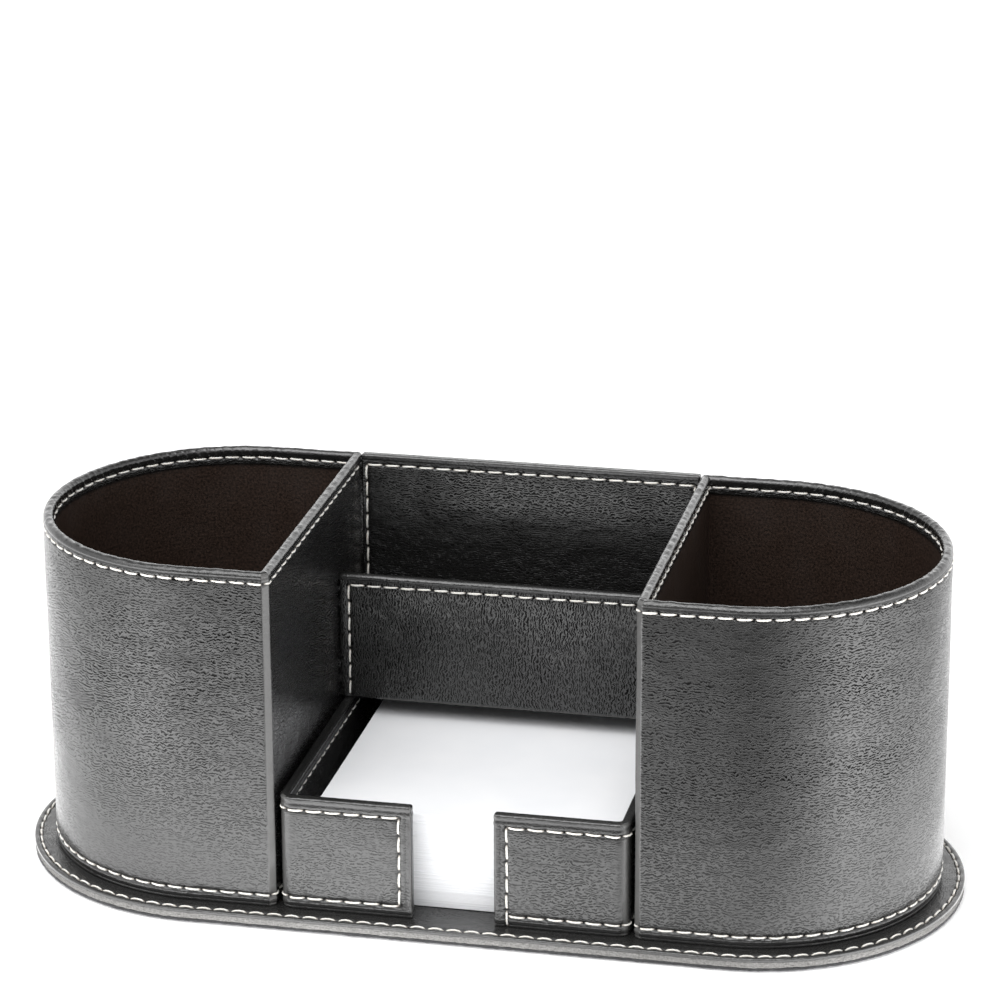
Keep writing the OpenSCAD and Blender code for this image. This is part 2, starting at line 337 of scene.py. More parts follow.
def board_material(name, tone):
    """Pulp board with a cut, fibrous edge."""
    mat, k, bsdf = new_material(name)
    place = k.object_place()
    fibre = k.noise(place, stretch=(900, 900, 5200), detail=4.0, rough=0.7)
    speck = k.noise(place, stretch=(2600, 2600, 2600), detail=2.0)
    height = k.mul_add(fibre, 0.6, k.mul(speck, 0.4))     # shares of fibre and speck
    normal = k.bump(height, distance=0.00022)
    dark, pale = tone * 0.45, tone * 1.5
    color = k.ramp(height, [(0.34, (dark, dark * 0.98, dark * 0.95, 1)),
                            (0.66, (pale, pale * 0.98, pale * 0.95, 1))])
    k.fill(bsdf, {"Normal": normal, "Base Color": color, "Roughness": 0.9,
                  "Specular IOR Level": 0.2})
    return mat


def felt_material():
    mat, k, bsdf = new_material("base_felt")
    place = k.object_place()
    fluff = k.noise(place, stretch=(1500, 1500, 1500), detail=4.0, rough=0.75, distortion=1.2)
    clump = k.noise(place, stretch=(420, 420, 420), rough=0.6)
    height = k.mul_add(fluff, 0.7, k.mul(clump, 0.3))     # shares of fluff and clump
    normal = k.bump(height, distance=0.0003)
    color = k.ramp(height, [(0.35, (0.02, 0.02, 0.021, 1)), (0.65, (0.06, 0.06, 0.062, 1))])
    k.fill(bsdf, {"Normal": normal, "Base Color": color, "Roughness": 0.95,
                  "Specular IOR Level": 0.15, "Sheen Weight": 0.5, "Sheen Roughness": 0.5,
                  "Sheen Tint": (0.5, 0.5, 0.52, 1)})
    return mat


def paper_material():
    mat, k, bsdf = new_material("note_paper")
    place = k.object_place()
    tooth = k.noise(place, stretch=(2200, 2200, 2200), rough=0.6)
    normal = k.bump(tooth, distance=0.00002, strength=0.6)
    cloud = k.noise(place, stretch=(60, 60, 60), detail=2.0)
    color = k.ramp(cloud, [(0.3, (0.86, 0.87, 0.89, 1)), (0.7, (0.90, 0.905, 0.92, 1))])
    # painted shade in creases; the note sheets set it to zero everywhere
    color = k.mix(k.attribute("crease"), color, (0.62, 0.63, 0.65, 1))
    k.fill(bsdf, {"Normal": normal, "Base Color": color, "Roughness": 0.75,
                  "Specular IOR Level": 0.3})
    return mat


LEFT_CUP_LEATHER = leather("leather_left_cup", seed=1.0, fade=0.42)
RIGHT_CUP_LEATHER = leather("leather_right_cup", seed=31.0, fade=0.6, deep=1.15)
SLOT_LEATHER = leather("leather_slot", seed=57.0, vertical=True, deep=1.3)
BACK_LEATHER = leather("leather_back_panel", seed=83.0)
LEFT_TRAY_LEATHER = leather("leather_tray_left", seed=101.0, grain=0.5)
RIGHT_TRAY_LEATHER = leather("leather_tray_right", seed=131.0, grain=0.65)
BASE_LEATHER = leather("leather_base", seed=151.0, grain=0.6, tone=0.018)
LINING = lining_material()
THREAD = thread_material()
BOARD = board_material("grey_board", tone=0.12)
CUT_EDGE = board_material("fibrous_edge", tone=0.2)
FELT = felt_material()
PAPER = paper_material()


# ------------------------------------------------------------------ curves
def smoothstep(x, a, b):
    t = np.clip((x - a) / (b - a), 0, 1)
    return t * t * (3 - 2 * t)


def bell(x, centre, width):
    return np.exp(-((x - centre) / width) ** 2)


def around(u, at, length):
    """Signed distance from at, on a closed line."""
    return np.mod(u - at + length / 2, length) - length / 2


def wobble(u, v, length, seed, amp, max_waves=9):
    """Smooth low waves, periodic along u."""
    rng = np.random.default_rng(seed)
    out = np.zeros(np.broadcast(u, v).shape)
    for _ in range(10):
        a = rng.integers(1, max_waves + 1) * TURN / length
        b = rng.uniform(-2.5, 2.5) * TURN / 80.0
        out += rng.uniform(0.3, 1.0) * np.sin(a * u + b * v + rng.uniform(0, 6.28))
    return amp * out / 5.0


def rotate(vector, angle):
    c, s = math.cos(angle), math.sin(angle)
    return np.array([vector[0] * c - vector[1] * s, vector[0] * s + vector[1] * c])


def turn_angle(a, b):
    return math.atan2(a[0] * b[1] - a[1] * b[0], a @ b)


class Outline:
    """A closed rounded polygon in plan, counterclockwise, that can be inset.

    It is sampled at columns, each on a corner arc or an edge; they keep their place as it is
    inset. s is the arc length at each column and L the whole length.
    """

    def __init__(self, corners, radii, step, arc_step):
        self.corners = np.array(corners, float)
        self.radii = radii
        self.n = len(self.corners)
        edges = np.roll(self.corners, -1, 0) - self.corners
        self.along = edges / np.linalg.norm(edges, axis=1)[:, None]  # edge k: corner k to k + 1
        self.inward = np.stack([-self.along[:, 1], self.along[:, 0]], 1)
        self.turns = [turn_angle(self.along[k - 1], self.along[k]) for k in range(self.n)]
        arcs = self._arcs(0.0)
        cols = []
        for k in range(self.n):
            arc_length = abs(self.turns[k]) * max(self.radii[k], 0.3)
            count = max(5, int(math.ceil(arc_length / arc_step)) + 1)
            cols += [("arc", k, t) for t in np.linspace(0, 1, count)]
            length = np.linalg.norm(arcs[(k + 1) % self.n][1] - arcs[k][2])
            if length > 1e-6:
                count = int(math.ceil(length / step))
                cols += [("edge", k, t) for t in np.linspace(0, 1, count + 1)[1:-1]]
        # drop repeated columns
        pts, _ = self._place(0.0, cols)
        keep = [0]
        for j in range(1, len(cols)):
            if np.linalg.norm(pts[j] - pts[keep[-1]]) > 1e-6:
                keep.append(j)
        if np.linalg.norm(pts[keep[-1]] - pts[0]) < 1e-6:
            keep.pop()
        self.cols = [cols[j] for j in keep]
        pts, self.normals = self._place(0.0, self.cols)
        lengths = np.linalg.norm(np.roll(pts, -1, 0) - pts, axis=1)
        self.s = np.concatenate([[0], np.cumsum(lengths)[:-1]])
        self.L = float(lengths.sum())

    def _arcs(self, inset):
        """Per corner: (centre, arc start, arc end, radius)."""
        out = []
        for k in range(self.n):
            before, after = self.inward[k - 1], self.inward[k]
            shift = np.linalg.solve(np.array([before, after]), np.array([inset, inset]))
            corner = self.corners[k] + shift
            convex = self.turns[k] > 0
            r = max(self.radii[k] - inset, 0.12) if convex else self.radii[k] + inset
            tangent = r * math.tan(abs(self.turns[k]) / 2)
            start = corner - self.along[k - 1] * tangent
            centre = start + before * r * (1 if convex else -1)
            out.append((centre, start, corner + self.along[k] * tangent, r))
        return out

    def _place(self, inset, cols):
        arcs = self._arcs(inset)
        points, normals = [], []
        for kind, k, t in cols:
            if kind == "arc":
                normal = rotate(-self.inward[k - 1], self.turns[k] * t)
                centre, r = arcs[k][0], arcs[k][3]
                points.append(centre + normal * r * (1 if self.turns[k] > 0 else -1))
                normals.append(normal)
            else:
                points.append(arcs[k][2] * (1 - t) + arcs[(k + 1) % self.n][1] * t)
                normals.append(-self.inward[k])
        return np.array(points), np.array(normals)

    def at(self, inset):
        return self._place(inset, self.cols)[0]

    def sampler(self, inset):
        """Function of arc length, giving plan point and outward normal at an inset."""
        s = np.concatenate([self.s, [self.L]])
        points = self.at(inset)
        points = np.vstack([points, points[:1]])
        normals = np.vstack([self.normals, self.normals[:1]])

        def sample(u):
            u = np.mod(u, self.L)
            x, n = (np.stack([np.interp(u, s, table[:, 0]), np.interp(u, s, table[:, 1])], -1)
                    for table in (points, normals))
            return x, n / np.linalg.norm(n, axis=-1, keepdims=True)

        return sample

    def corner_s(self, k):
        """Arc lengths at the start and end of corner k."""
        j = [i for i, col in enumerate(self.cols) if col[0] == "arc" and col[1] == k]
        return self.s[j[0]], self.s[j[-1]]

    def corner_mid(self, k):
        return sum(self.corner_s(k)) / 2


def fillet_path(points, radii, step):
    """Open polyline with rounded corners."""
    points = [np.array(p, float) for p in points]
    out = [points[0]]
    for k in range(1, len(points) - 1):
        before, p, after, r = points[k - 1], points[k], points[k + 1], radii[k]
        len_in, len_out = np.linalg.norm(p - before), np.linalg.norm(after - p)
        dir_in, dir_out = (p - before) / len_in, (after - p) / len_out
        turn = turn_angle(dir_in, dir_out)
        if r <= 1e-6 or abs(turn) < 1e-4:
            out.append(p)
            continue
        tangent = min(r * math.tan(abs(turn) / 2), 0.49 * len_in, 0.49 * len_out)
        r = tangent / math.tan(abs(turn) / 2)
        start = p - dir_in * tangent
        centre = start + np.array([-dir_in[1], dir_in[0]]) * (1 if turn > 0 else -1) * r
        for t in np.linspace(0, 1, max(4, int(abs(turn) * r / step) + 2)):
            out.append(centre + rotate(start - centre, turn * t))
    out.append(points[-1])
    return out


def densify(path, step_of):
    """Splits long spans; step_of(point) gives the local step."""
    out = [path[0]]
    for a, b in zip(path[:-1], path[1:]):
        length = np.linalg.norm(b - a)
        if length < 1e-9:
            continue
        pos = 0.0
        while True:
            step = step_of(a + (b - a) * min(pos / length, 1.0))
            pos += step
            if pos >= length - 0.4 * step:
                break
            out.append(a + (b - a) * (pos / length))
        out.append(b)
    return np.array(out)


def row_step(near, coarse):
    """Row spacing at a distance from the nearest seam or edge."""
    return 0.17 if near < 1.2 else (0.3 if near < 2.2 else coarse)


def wall_steps(seam_z, top_z, coarse):
    """Step function for an (inset, z) profile that stands on the base."""
    def step(p):
        near = [abs(p[1] - z) for z in seam_z]
        near += [abs(p[1] - top_z) * 0.8, abs(p[1] - BASE_Z) * 0.8]
        return row_step(min(near), coarse)

    return step


def left_normals(path):
    """Unit normals on the left of a path, which is the outside of the solid."""
    tangent = np.gradient(path, axis=0)
    tangent /= np.linalg.norm(tangent, axis=1)[:, None] + 1e-12
    return np.stack([-tangent[:, 1], tangent[:, 0]], 1)


def path_lengths(path):
    return np.concatenate([[0], np.cumsum(np.linalg.norm(np.diff(path, axis=0), axis=1))])


# ------------------------------------------------------------------ meshes
def face_corners(groups):
    return np.concatenate([group.ravel() for group in groups])


def make_mesh(name, verts, groups, uvs, attrs, mat, slot, replaces, body=ORGANISER,
              smooth=True, index_layer=True):
    """verts in mm. groups are face arrays, one per face size. uvs is per face corner.
    index_layer also stores a material index on every face."""
    mesh = bpy.data.meshes.new(name)
    flat = face_corners(groups)
    sizes = np.concatenate([np.full(len(group), group.shape[1]) for group in groups])
    starts = np.concatenate([[0], np.cumsum(sizes)[:-1]])
    mesh.vertices.add(len(verts))
    mesh.vertices.foreach_set("co", (verts / 1000.0).astype(np.float32).ravel())
    mesh.loops.add(len(flat))
    mesh.loops.foreach_set("vertex_index", flat.astype(np.int32))
    mesh.polygons.add(len(sizes))
    mesh.polygons.foreach_set("loop_start", starts.astype(np.int32))
    mesh.polygons.foreach_set("loop_total", sizes.astype(np.int32))
    if index_layer:
        mesh.polygons.foreach_set("material_index", np.zeros(len(sizes), np.int32))
    mesh.polygons.foreach_set("use_smooth", np.full(len(sizes), smooth, bool))
    mesh.update(calc_edges=True)
    layer = mesh.uv_layers.new(name="mm")
    layer.data.foreach_set("uv", np.asarray(uvs, np.float32).ravel())
    for key, values in attrs.items():
        attribute = mesh.attributes.new(key, "FLOAT", "POINT")
        attribute.data.foreach_set("value", np.asarray(values, np.float32).ravel())
    mesh.validate(clean_customdata=False)
    ob = bpy.data.objects.new(name, mesh)
    bpy.context.scene.collection.objects.link(ob)
    mesh.materials.append(mat)
    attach(ob, body)
    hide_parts(*replaces)
    return ob


def grid_faces(nu, nv, close_u=True, close_v=False):
    """Quads of a grid of points, and the (u, v) index of each quad's first corner."""
    iu = np.arange(nu if close_u else nu - 1)
    iv = np.arange(nv if close_v else nv - 1)
    a, b = (index.ravel() for index in np.meshgrid(iu, iv, indexing="ij"))
    a1, b1 = (a + 1) % nu, (b + 1) % nv
    return np.stack([a * nv + b, a1 * nv + b, a1 * nv + b1, a * nv + b1], -1), (a, b)


def grid_object(name, points, u, v, mat, slot, replaces, crease=0.0, wear=0.0, flat=0.0,
                u_length=None, v_gap=None, flip=False):
    """A grid of points as one object; u runs over columns and v over rows, in mm.
    u_length closes it along u; v_gap closes it along v, and is the UV width of that strip."""
    nu, nv = points.shape[:2]
    faces, (a, b) = grid_faces(nu, nv, u_length is not None, v_gap is not None)
    u = np.broadcast_to(u[:, None], (nu, nv))
    v = np.broadcast_to(v[None], (nu, nv))
    a1, b1 = (a + 1) % nu, (b + 1) % nv
    du = np.where(a + 1 >= nu, u_length or 0.0, 0.0)
    dv = np.where(b + 1 >= nv, v_gap or 0.0, 0.0)
    uvs = np.stack([
        np.stack([u[a, b], v[a, b]], -1),
        np.stack([u[a1, b] + du, v[a1, b]], -1),
        np.stack([u[a1, b1] + du, v[a1, b1] + dv], -1),
        np.stack([u[a, b1], v[a, b1] + dv], -1),
    ], 1)
    if flip:
        faces = faces[:, ::-1]
        uvs = uvs[:, ::-1]
    attrs = {"crease": crease, "wear": wear, "ply": flat}
    attrs = {key: np.broadcast_to(values, (nu, nv)) for key, values in attrs.items()}
    return make_mesh(name, points.reshape(-1, 3), [faces], uvs, attrs, mat, slot, replaces)


def sweep(outline, profile, offset, mirror=1):
    """Grid of points: outline columns by profile rows, and the lengths up the profile.
    profile is rows of (inset, z); offset is mm along its left-hand normal at each point."""
    normal = left_normals(profile)
    offset = np.broadcast_to(offset, (len(outline.s), len(profile)))
    points = np.zeros(offset.shape + (3,))
    plans = {}
    for j, (inset, z) in enumerate(profile):
        key = round(float(inset), 6)
        if key not in plans:
            plans[key] = outline.at(inset)
        points[:, j, :2] = plans[key] - outline.normals * (offset[:, j] * normal[j, 0])[:, None]
        points[:, j, 2] = z + offset[:, j] * normal[j, 1]
    points[..., 0] *= mirror
    return points, path_lengths(profile)


def cap_rings(ob, rings):
    """Closes rings of vertices with triangulated faces."""
    bm = bmesh.new()
    bm.from_mesh(ob.data)
    bm.verts.ensure_lookup_table()
    for ring in rings:
        bm.faces.new([bm.verts[i] for i in ring])
    bmesh.ops.triangulate(bm, faces=[f for f in bm.faces if len(f.verts) > 4])
    bmesh.ops.recalc_face_normals(bm, faces=bm.faces)
    bm.to_mesh(ob.data)
    bm.free()


def edge_rings(nu, nv):
    """Vertex rings along the first and the last row of a grid."""
    return range(0, nu * nv, nv), range(nv - 1, nu * nv, nv)


def cap_sweep(ob, nu, nv):
    first, last = edge_rings(nu, nv)
    cap_rings(ob, [first[::-1], last])


def cap_flat(ob, ring, upward):
    """Closes a flat ring of vertices. The triangulation is in mm, as the rings are narrow."""
    bm = bmesh.new()
    bm.from_mesh(ob.data)
    bm.verts.ensure_lookup_table()

    def doubled_area(pts):
        n = len(pts)
        return sum(pts[i].x * pts[(i + 1) % n].y - pts[(i + 1) % n].x * pts[i].y
                   for i in range(n))

    pts = [Vector((bm.verts[i].co.x * 1000.0, bm.verts[i].co.y * 1000.0)) for i in ring]
    order = list(range(len(pts)))
    if doubled_area(pts) <= 0:
        order = order[::-1]
    _, _, triangles, sources, _, _ = delaunay_2d_cdt(pts, [], [order], 1, 1e-7)
    uv_layer = bm.loops.layers.uv.active
    for triangle in triangles:
        index = [sources[v][0] for v in triangle if sources[v]]
        if len(set(index)) < 3:
            continue
        verts = [bm.verts[ring[i]] for i in index]
        if (doubled_area([vert.co for vert in verts[:3]]) > 0) != upward:
            verts = verts[::-1]
        try:
            face = bm.faces.new(verts)
        except ValueError:                 # the face is already there
            continue
        face.smooth = True
        for loop in face.loops:
            loop[uv_layer].uv = (loop.vert.co.x * 1000.0, loop.vert.co.y * 1000.0)
    bm.to_mesh(ob.data)
    bm.free()


def extruded(name, xs, section, offset, mat, slot, replaces, flip, **attrs):
    """A closed (y, z) section run along X and capped at both ends."""
    normal = left_normals(section)
    points = np.stack([xs[:, None] + 0 * offset, section[:, 0] + offset * normal[:, 0],
                       section[:, 1] + offset * normal[:, 1]], -1)
    ob = grid_object(name, points, xs, path_lengths(section), mat, slot, replaces,
                     v_gap=1.0, flip=flip, **attrs)
    n = len(section)
    start, end = range(n), range((len(xs) - 1) * n, len(xs) * n)
    cap_rings(ob, [start, end[::-1]] if flip else [start[::-1], end])


# ------------------------------------------------------------------ seams
class Seam:
    """A straight seam on a wall, from lo to hi: "level" (z fixed at at) or "upright" (u fixed).
    L is the wall's whole length along u."""

    def __init__(self, kind, at, lo, hi, L, count, pull=0.30, seed=0):
        self.kind, self.at, self.lo, self.hi, self.L = kind, at, lo, hi, L
        self.count = count
        self.pitch = (hi - lo) / count
        self.pull, self.seed = pull, seed

    def along_across(self, u, z):
        if self.kind == "level":
            return np.mod(u - self.lo, self.L), z - self.at
        return z - self.lo, around(u, self.at, self.L)

    def groove(self, u, z):
        """(offset, painted shade in the groove and the needle holes) of the leather at (u, z)."""
        along, across = self.along_across(u, z)
        span = self.hi - self.lo
        on = 1.0
        if span < self.L - 0.5 or self.kind == "upright":
            on = smoothstep(along, -1.0, 0.4) * (1 - smoothstep(along, span - 0.4, span + 1.0))
        phase = np.mod(along / self.pitch + 0.5, 1.0) - 0.5
        hole = np.exp(-((phase * self.pitch) ** 2 + across ** 2) / 0.36 ** 2)
        line = bell(across, 0, 0.42)
        wide = bell(across, 0, 1.15)
        tension = 0.5 + 0.5 * np.cos(TURN * phase)       # 1 at a hole, 0 mid stitch
        offset = (-self.pull * line * (0.7 + 0.3 * tension) - 0.30 * hole
                  - 0.10 * wide * (0.4 + 0.6 * tension))
        return offset * on, np.clip(0.9 * hole + 0.35 * line, 0, 1) * on


def level_seam(z, start, run, L, **more):
    return Seam("level", z, start, start + run, L, stitch_count(run), **more)


def stitches(seam, surface, side=1.0, half_width=0.27, half_height=0.20, lift=0.10, mirror=1,
             reverse=False, keep=None):
    """Separate lockstitches: (verts, quads, triangles, UVs, ply, painted shade at the stitch
    ends).
    surface(u, z, h) gives 3-D points h mm above the leather; keep(centres) picks stitches."""
    rings, sides = 18, 12                  # points along and round a stitch
    fill, slant = 0.90, 0.07               # share of the pitch that shows; tilt across the seam
    rng = np.random.default_rng(1000 + seam.seed)
    n = seam.count
    t = np.linspace(0, 1, rings)
    angle = np.linspace(0, TURN, sides, endpoint=False)
    jitter = rng.normal(0, 1, (n, 6))
    number = np.arange(n)
    start = (number + 0.5 * (1 - fill)) * seam.pitch + jitter[:, 0] * 0.04
    end = (number + 1 - 0.5 * (1 - fill)) * seam.pitch + jitter[:, 1] * 0.04
    along = start[:, None] + (end - start)[:, None] * t[None]
    across = ((slant * side * (2 * t - 1))[None] + jitter[:, 2:3] * 0.035
              + jitter[:, 3:4] * 0.03 * np.sin(math.pi * t)[None])
    # round ends that dip into the holes
    to_end = np.minimum(t, 1 - t)
    taper = np.clip(to_end / 0.13, 0, 1)
    shape = np.sqrt(np.clip(1 - (1 - taper) ** 2, 0, 1))
    dip = 1 - np.sin(math.pi * np.clip(to_end / 0.5, 0, 1) / 2) ** 0.55
    height = (lift + half_height * 0.55 - 0.62 * dip)[None] * (1 + 0.06 * jitter[:, 4:5])
    width = half_width * (0.42 + 0.58 * shape)[None] * (1 + 0.05 * jitter[:, 5:6])
    thick = half_height * (0.55 + 0.45 * shape)[None, :, None]
    # two plies that wind round each other
    phase = rng.uniform(0, 6.28, n)[:, None, None]
    twist = TURN * along[:, :, None] / 1.9 + phase
    ply = 0.5 + 0.5 * np.cos(2 * (angle[None, None] - twist))
    radius = 0.86 + 0.14 * ply
    a = along[:, :, None] + 0 * angle
    c = across[:, :, None] + width[:, :, None] * radius * np.cos(angle)
    h = height[:, :, None] + thick * radius * np.sin(angle)
    if seam.kind == "level":
        u, z = seam.lo + a, seam.at + c
    else:
        u, z = seam.at + c, seam.lo + a
    points = surface(u.ravel(), z.ravel(), h.ravel()).reshape(n, rings, sides, 3)
    points = points * np.array([mirror, 1, 1])
    # painted shade at the ends, where they dip into the holes
    end_shade = (1 - smoothstep(to_end, 0.02, 0.16))[None, :, None] * np.ones((n, 1, sides))
    # one more point in the middle of each end, for the caps
    verts = np.concatenate([points.reshape(n, -1, 3), points[:, 0].mean(1)[:, None],
                            points[:, -1].mean(1)[:, None]], 1)
    uv_along = np.concatenate([a.reshape(n, -1), along[:, :1], along[:, -1:]], 1)
    uv_round = np.broadcast_to(angle * half_width, (n, rings, sides)).reshape(n, -1)
    uv_round = np.concatenate([uv_round, np.zeros((n, 2))], 1)
    uvs = np.stack([uv_along + seam.seed * 7.3, uv_round], -1)
    ply = np.concatenate([ply.reshape(n, -1), np.ones((n, 2))], 1)
    end_shade = np.concatenate([end_shade.reshape(n, -1), np.ones((n, 2))], 1)
    if keep is not None:
        kept = keep(verts.mean(1))
        verts, uvs, ply, end_shade = verts[kept], uvs[kept], ply[kept], end_shade[kept]
    quads, _ = grid_faces(rings, sides, False, True)
    j = np.arange(sides)
    following = (j + 1) % sides
    last_ring = (rings - 1) * sides
    hub = rings * sides
    triangles = np.concatenate([
        np.stack([np.full(sides, hub), following, j], 1),
        np.stack([np.full(sides, hub + 1), last_ring + j, last_ring + following], 1)])
    starts = (np.arange(len(verts)) * (hub + 2))[:, None, None]
    quads = (quads[None] + starts).reshape(-1, 4)
    triangles = (triangles[None] + starts).reshape(-1, 3)
    if (seam.kind == "level") ^ (side < 0) ^ (mirror < 0) ^ reverse:
        quads, triangles = quads[:, ::-1], triangles[:, ::-1]
    return (verts.reshape(-1, 3), quads, triangles, uvs.reshape(-1, 2), ply.ravel(),
            end_shade.ravel())


def thread_object(name, chunks, replaces):
    """Joins the results of stitches() into one object."""
    quads, triangles = [], []
    start = 0
    for chunk in chunks:
        quads.append(chunk[1] + start)
        triangles.append(chunk[2] + start)
        start += len(chunk[0])
    verts, uvs, ply, end_shade = (np.concatenate([chunk[i] for chunk in chunks])
                             for i in (0, 3, 4, 5))
    groups = [np.vstack(quads), np.vstack(triangles)]
    make_mesh(name, verts, groups, uvs[face_corners(groups)], {"ply": ply, "crease": end_shade},
              THREAD, "thread", [replaces], index_layer=False)


def wall_surface(outline, inset, sink, face=1.0):
    """surface(u, z, h) for a wall face at an inset, with the thread let in by sink.
    face is -1 for an inner face, where h goes inward."""
    sample = outline.sampler(inset)

    def surface(u, z, h):
        x, normal = sample(u)
        return np.concatenate([x + normal * ((h - sink) * face)[:, None], z[:, None]], 1)

    return surface


# ------------------------------------------------------------------ relief of wrapped edges
def rim_relief(z, top):
    """Shallow groove under the rolled top edge, and the swell below it."""
    return -0.13 * bell(z, top - RIM_GROOVE, 0.20) + 0.10 * bell(z, top - RIM_SWELL, 0.45)


# painted shade along the groove under the rolled top edge
def rim_crease(z, top):
    return bell(z, top - RIM_GROOVE, 0.16)


def foot_relief(z, swell, groove):
    """Swell of the tucked foot, and the groove under it."""
    return (swell * bell(z, BASE_Z + FOOT_SWELL, 0.55)
            - groove * bell(z, BASE_Z + FOOT_GROOVE, 0.16))


# painted shade in the groove above the foot and where the wall meets the base
def foot_crease(z):
    return 0.7 * bell(z, BASE_Z + FOOT_GROOVE, 0.14) + 0.8 * bell(z, BASE_Z, 0.15)


# ------------------------------------------------------------------ the two cups
def cup_skin(tag, side, outline, seams, mat, seed):
    """The leather: up the outside, over the rim and down inside as a turned hem."""
    rim, foot, closing = seams
    L = outline.L
    visible = densify(fillet_path(
        [(SKIN - 0.05, BASE_Z + 0.04), (0.10, BASE_Z + 0.06), (0.0, BASE_Z + 1.0),
         (0.0, RIM_TOP), (WALL_HEM, RIM_TOP), (WALL_HEM, HEM_Z), (WALL_HEM - 0.42, HEM_Z)],
        [0, 0.22, 0.5, 1.25, 1.15, 0.16, 0], step=0.09),
        wall_steps([RIM_SEAM, FOOT_SEAM], RIM_TOP, coarse=0.85))
    # hidden return inside the wall
    back = SKIN - 0.03
    hidden = np.array([(WALL_HEM - 0.42, RIM_TOP - 0.95), (back, RIM_TOP - 0.95),
                       (back, RIM_TOP - 1.8), (back, RIM_SEAM - 1.5), (back, FOOT_SEAM),
                       (back, BASE_Z + 0.2)])
    u, inset, z = outline.s[:, None], visible[None, :, 0], visible[None, :, 1]
    outer = (inset < 0.6).astype(float)
    inner = (inset > WALL_HEM - 0.6).astype(float) * (z > HEM_Z - 0.1)
    rim_dent, rim_dark = rim.groove(u, z)
    foot_dent, foot_dark = foot.groove(u, z)
    closing_dent, closing_dark = closing.groove(u, z)
    offset = rim_dent * (outer + 0.8 * inner) + foot_dent * outer + closing_dent * outer
    offset += outer * (rim_relief(z, RIM_TOP) + foot_relief(z, swell=0.16, groove=0.20))
    offset += (outer * wobble(u, z, L, seed + 3, 0.10)
               * smoothstep(z, BASE_Z + 2, BASE_Z + 9)
               * (1 - smoothstep(z, RIM_SEAM - 7, RIM_SEAM - 1)))
    # gathered folds of the hem on the inside, strongest where the wall bends
    facet_mid = (outline.corner_s(1)[0] + outline.corner_s(2)[1]) / 2
    end_start, end_stop = outline.corner_s(3)[0], outline.corner_s(4)[1]
    bend = (smoothstep(u, end_start - 4, end_start + 8)
            * (1 - smoothstep(u, end_stop - 8, end_stop + 4))
            + 0.8 * bell(u, facet_mid, 4.0) + 0.15)
    phase = 0.9 * np.sin(u * TURN / L * 17 + 1.0) + 0.7 * np.sin(u * TURN / L * 31 + 2.0)
    fold = np.maximum(0, np.sin(TURN * (u / 2.45 + 0.16 * (z - RIM_SEAM)) + phase)) ** 1.5
    offset += inner * bend * 0.12 * fold * bell(z, RIM_SEAM + 1.0, 1.5)
    # wavy cut edge of the hem
    offset += inner * 0.05 * np.sin(u * 1.9 + np.sin(u * 0.7)) * bell(z, HEM_Z, 0.8)
    top = (smoothstep(inset, 0.2, 0.9) * (1 - smoothstep(inset, WALL_HEM - 0.9, WALL_HEM - 0.2))
           * (z > HEM_Z + 1))
    offset += top * (wobble(u, inset * 6, L, seed + 5, 0.12, max_waves=70)
                     + wobble(u, inset * 9, L, seed + 6, 0.08, max_waves=140))
    # wear on the upright corners and both edges of the rim; the paler colour it gives is partly
    # a painted highlight, strongest on the front corner fold
    rear_mid = outline.corner_mid(0)
    corner = (1 - smoothstep(np.abs(u - facet_mid), 0.85, 1.35)
              + 0.8 * bell(u, rear_mid, 1.2) + 0.8 * bell(u, L + rear_mid, 1.2))
    edge = bell(z, RIM_TOP - 0.35, 0.35)
    edge = edge * (inset < 1.2) + edge * (inset > WALL_HEM - 1.2)
    wear = np.clip(np.clip(corner, 0, 1) * outer * 0.95 + 0.30 * edge + 0.15 * top, 0, 1)
    flat = np.clip(wear + 0.85 * (z > RIM_SEAM + 0.9) + 0.6 * inner * (z > RIM_SEAM - 0.6)
                   + 0.7 * outer * (z < BASE_Z + 2.2), 0, 1)
    # painted shade in the seam grooves and holes, under the rolled rim, at the foot and along the
    # hem's edge
    crease = np.clip(rim_dark * (outer + inner) + (foot_dark + closing_dark) * outer
                     + outer * (0.55 * rim_crease(z, RIM_TOP) + foot_crease(z))
                     + 0.8 * inner * bell(z, HEM_Z, 0.25), 0, 1)

    def padded(values):
        """Adds zeros for the hidden rows."""
        values = np.broadcast_to(values, offset.shape)
        return np.concatenate([values, np.zeros((len(u), len(hidden)))], 1)

    points, lengths = sweep(outline, np.vstack([visible, hidden]), padded(offset), side)
    grid_object(f"{tag}_cup_skin_leather", points, outline.s, lengths, mat, "leather",
                [f"{tag}_cup_skin"], crease=padded(crease), wear=padded(wear),
                flat=padded(flat), u_length=L, v_gap=2.0, flip=side > 0)


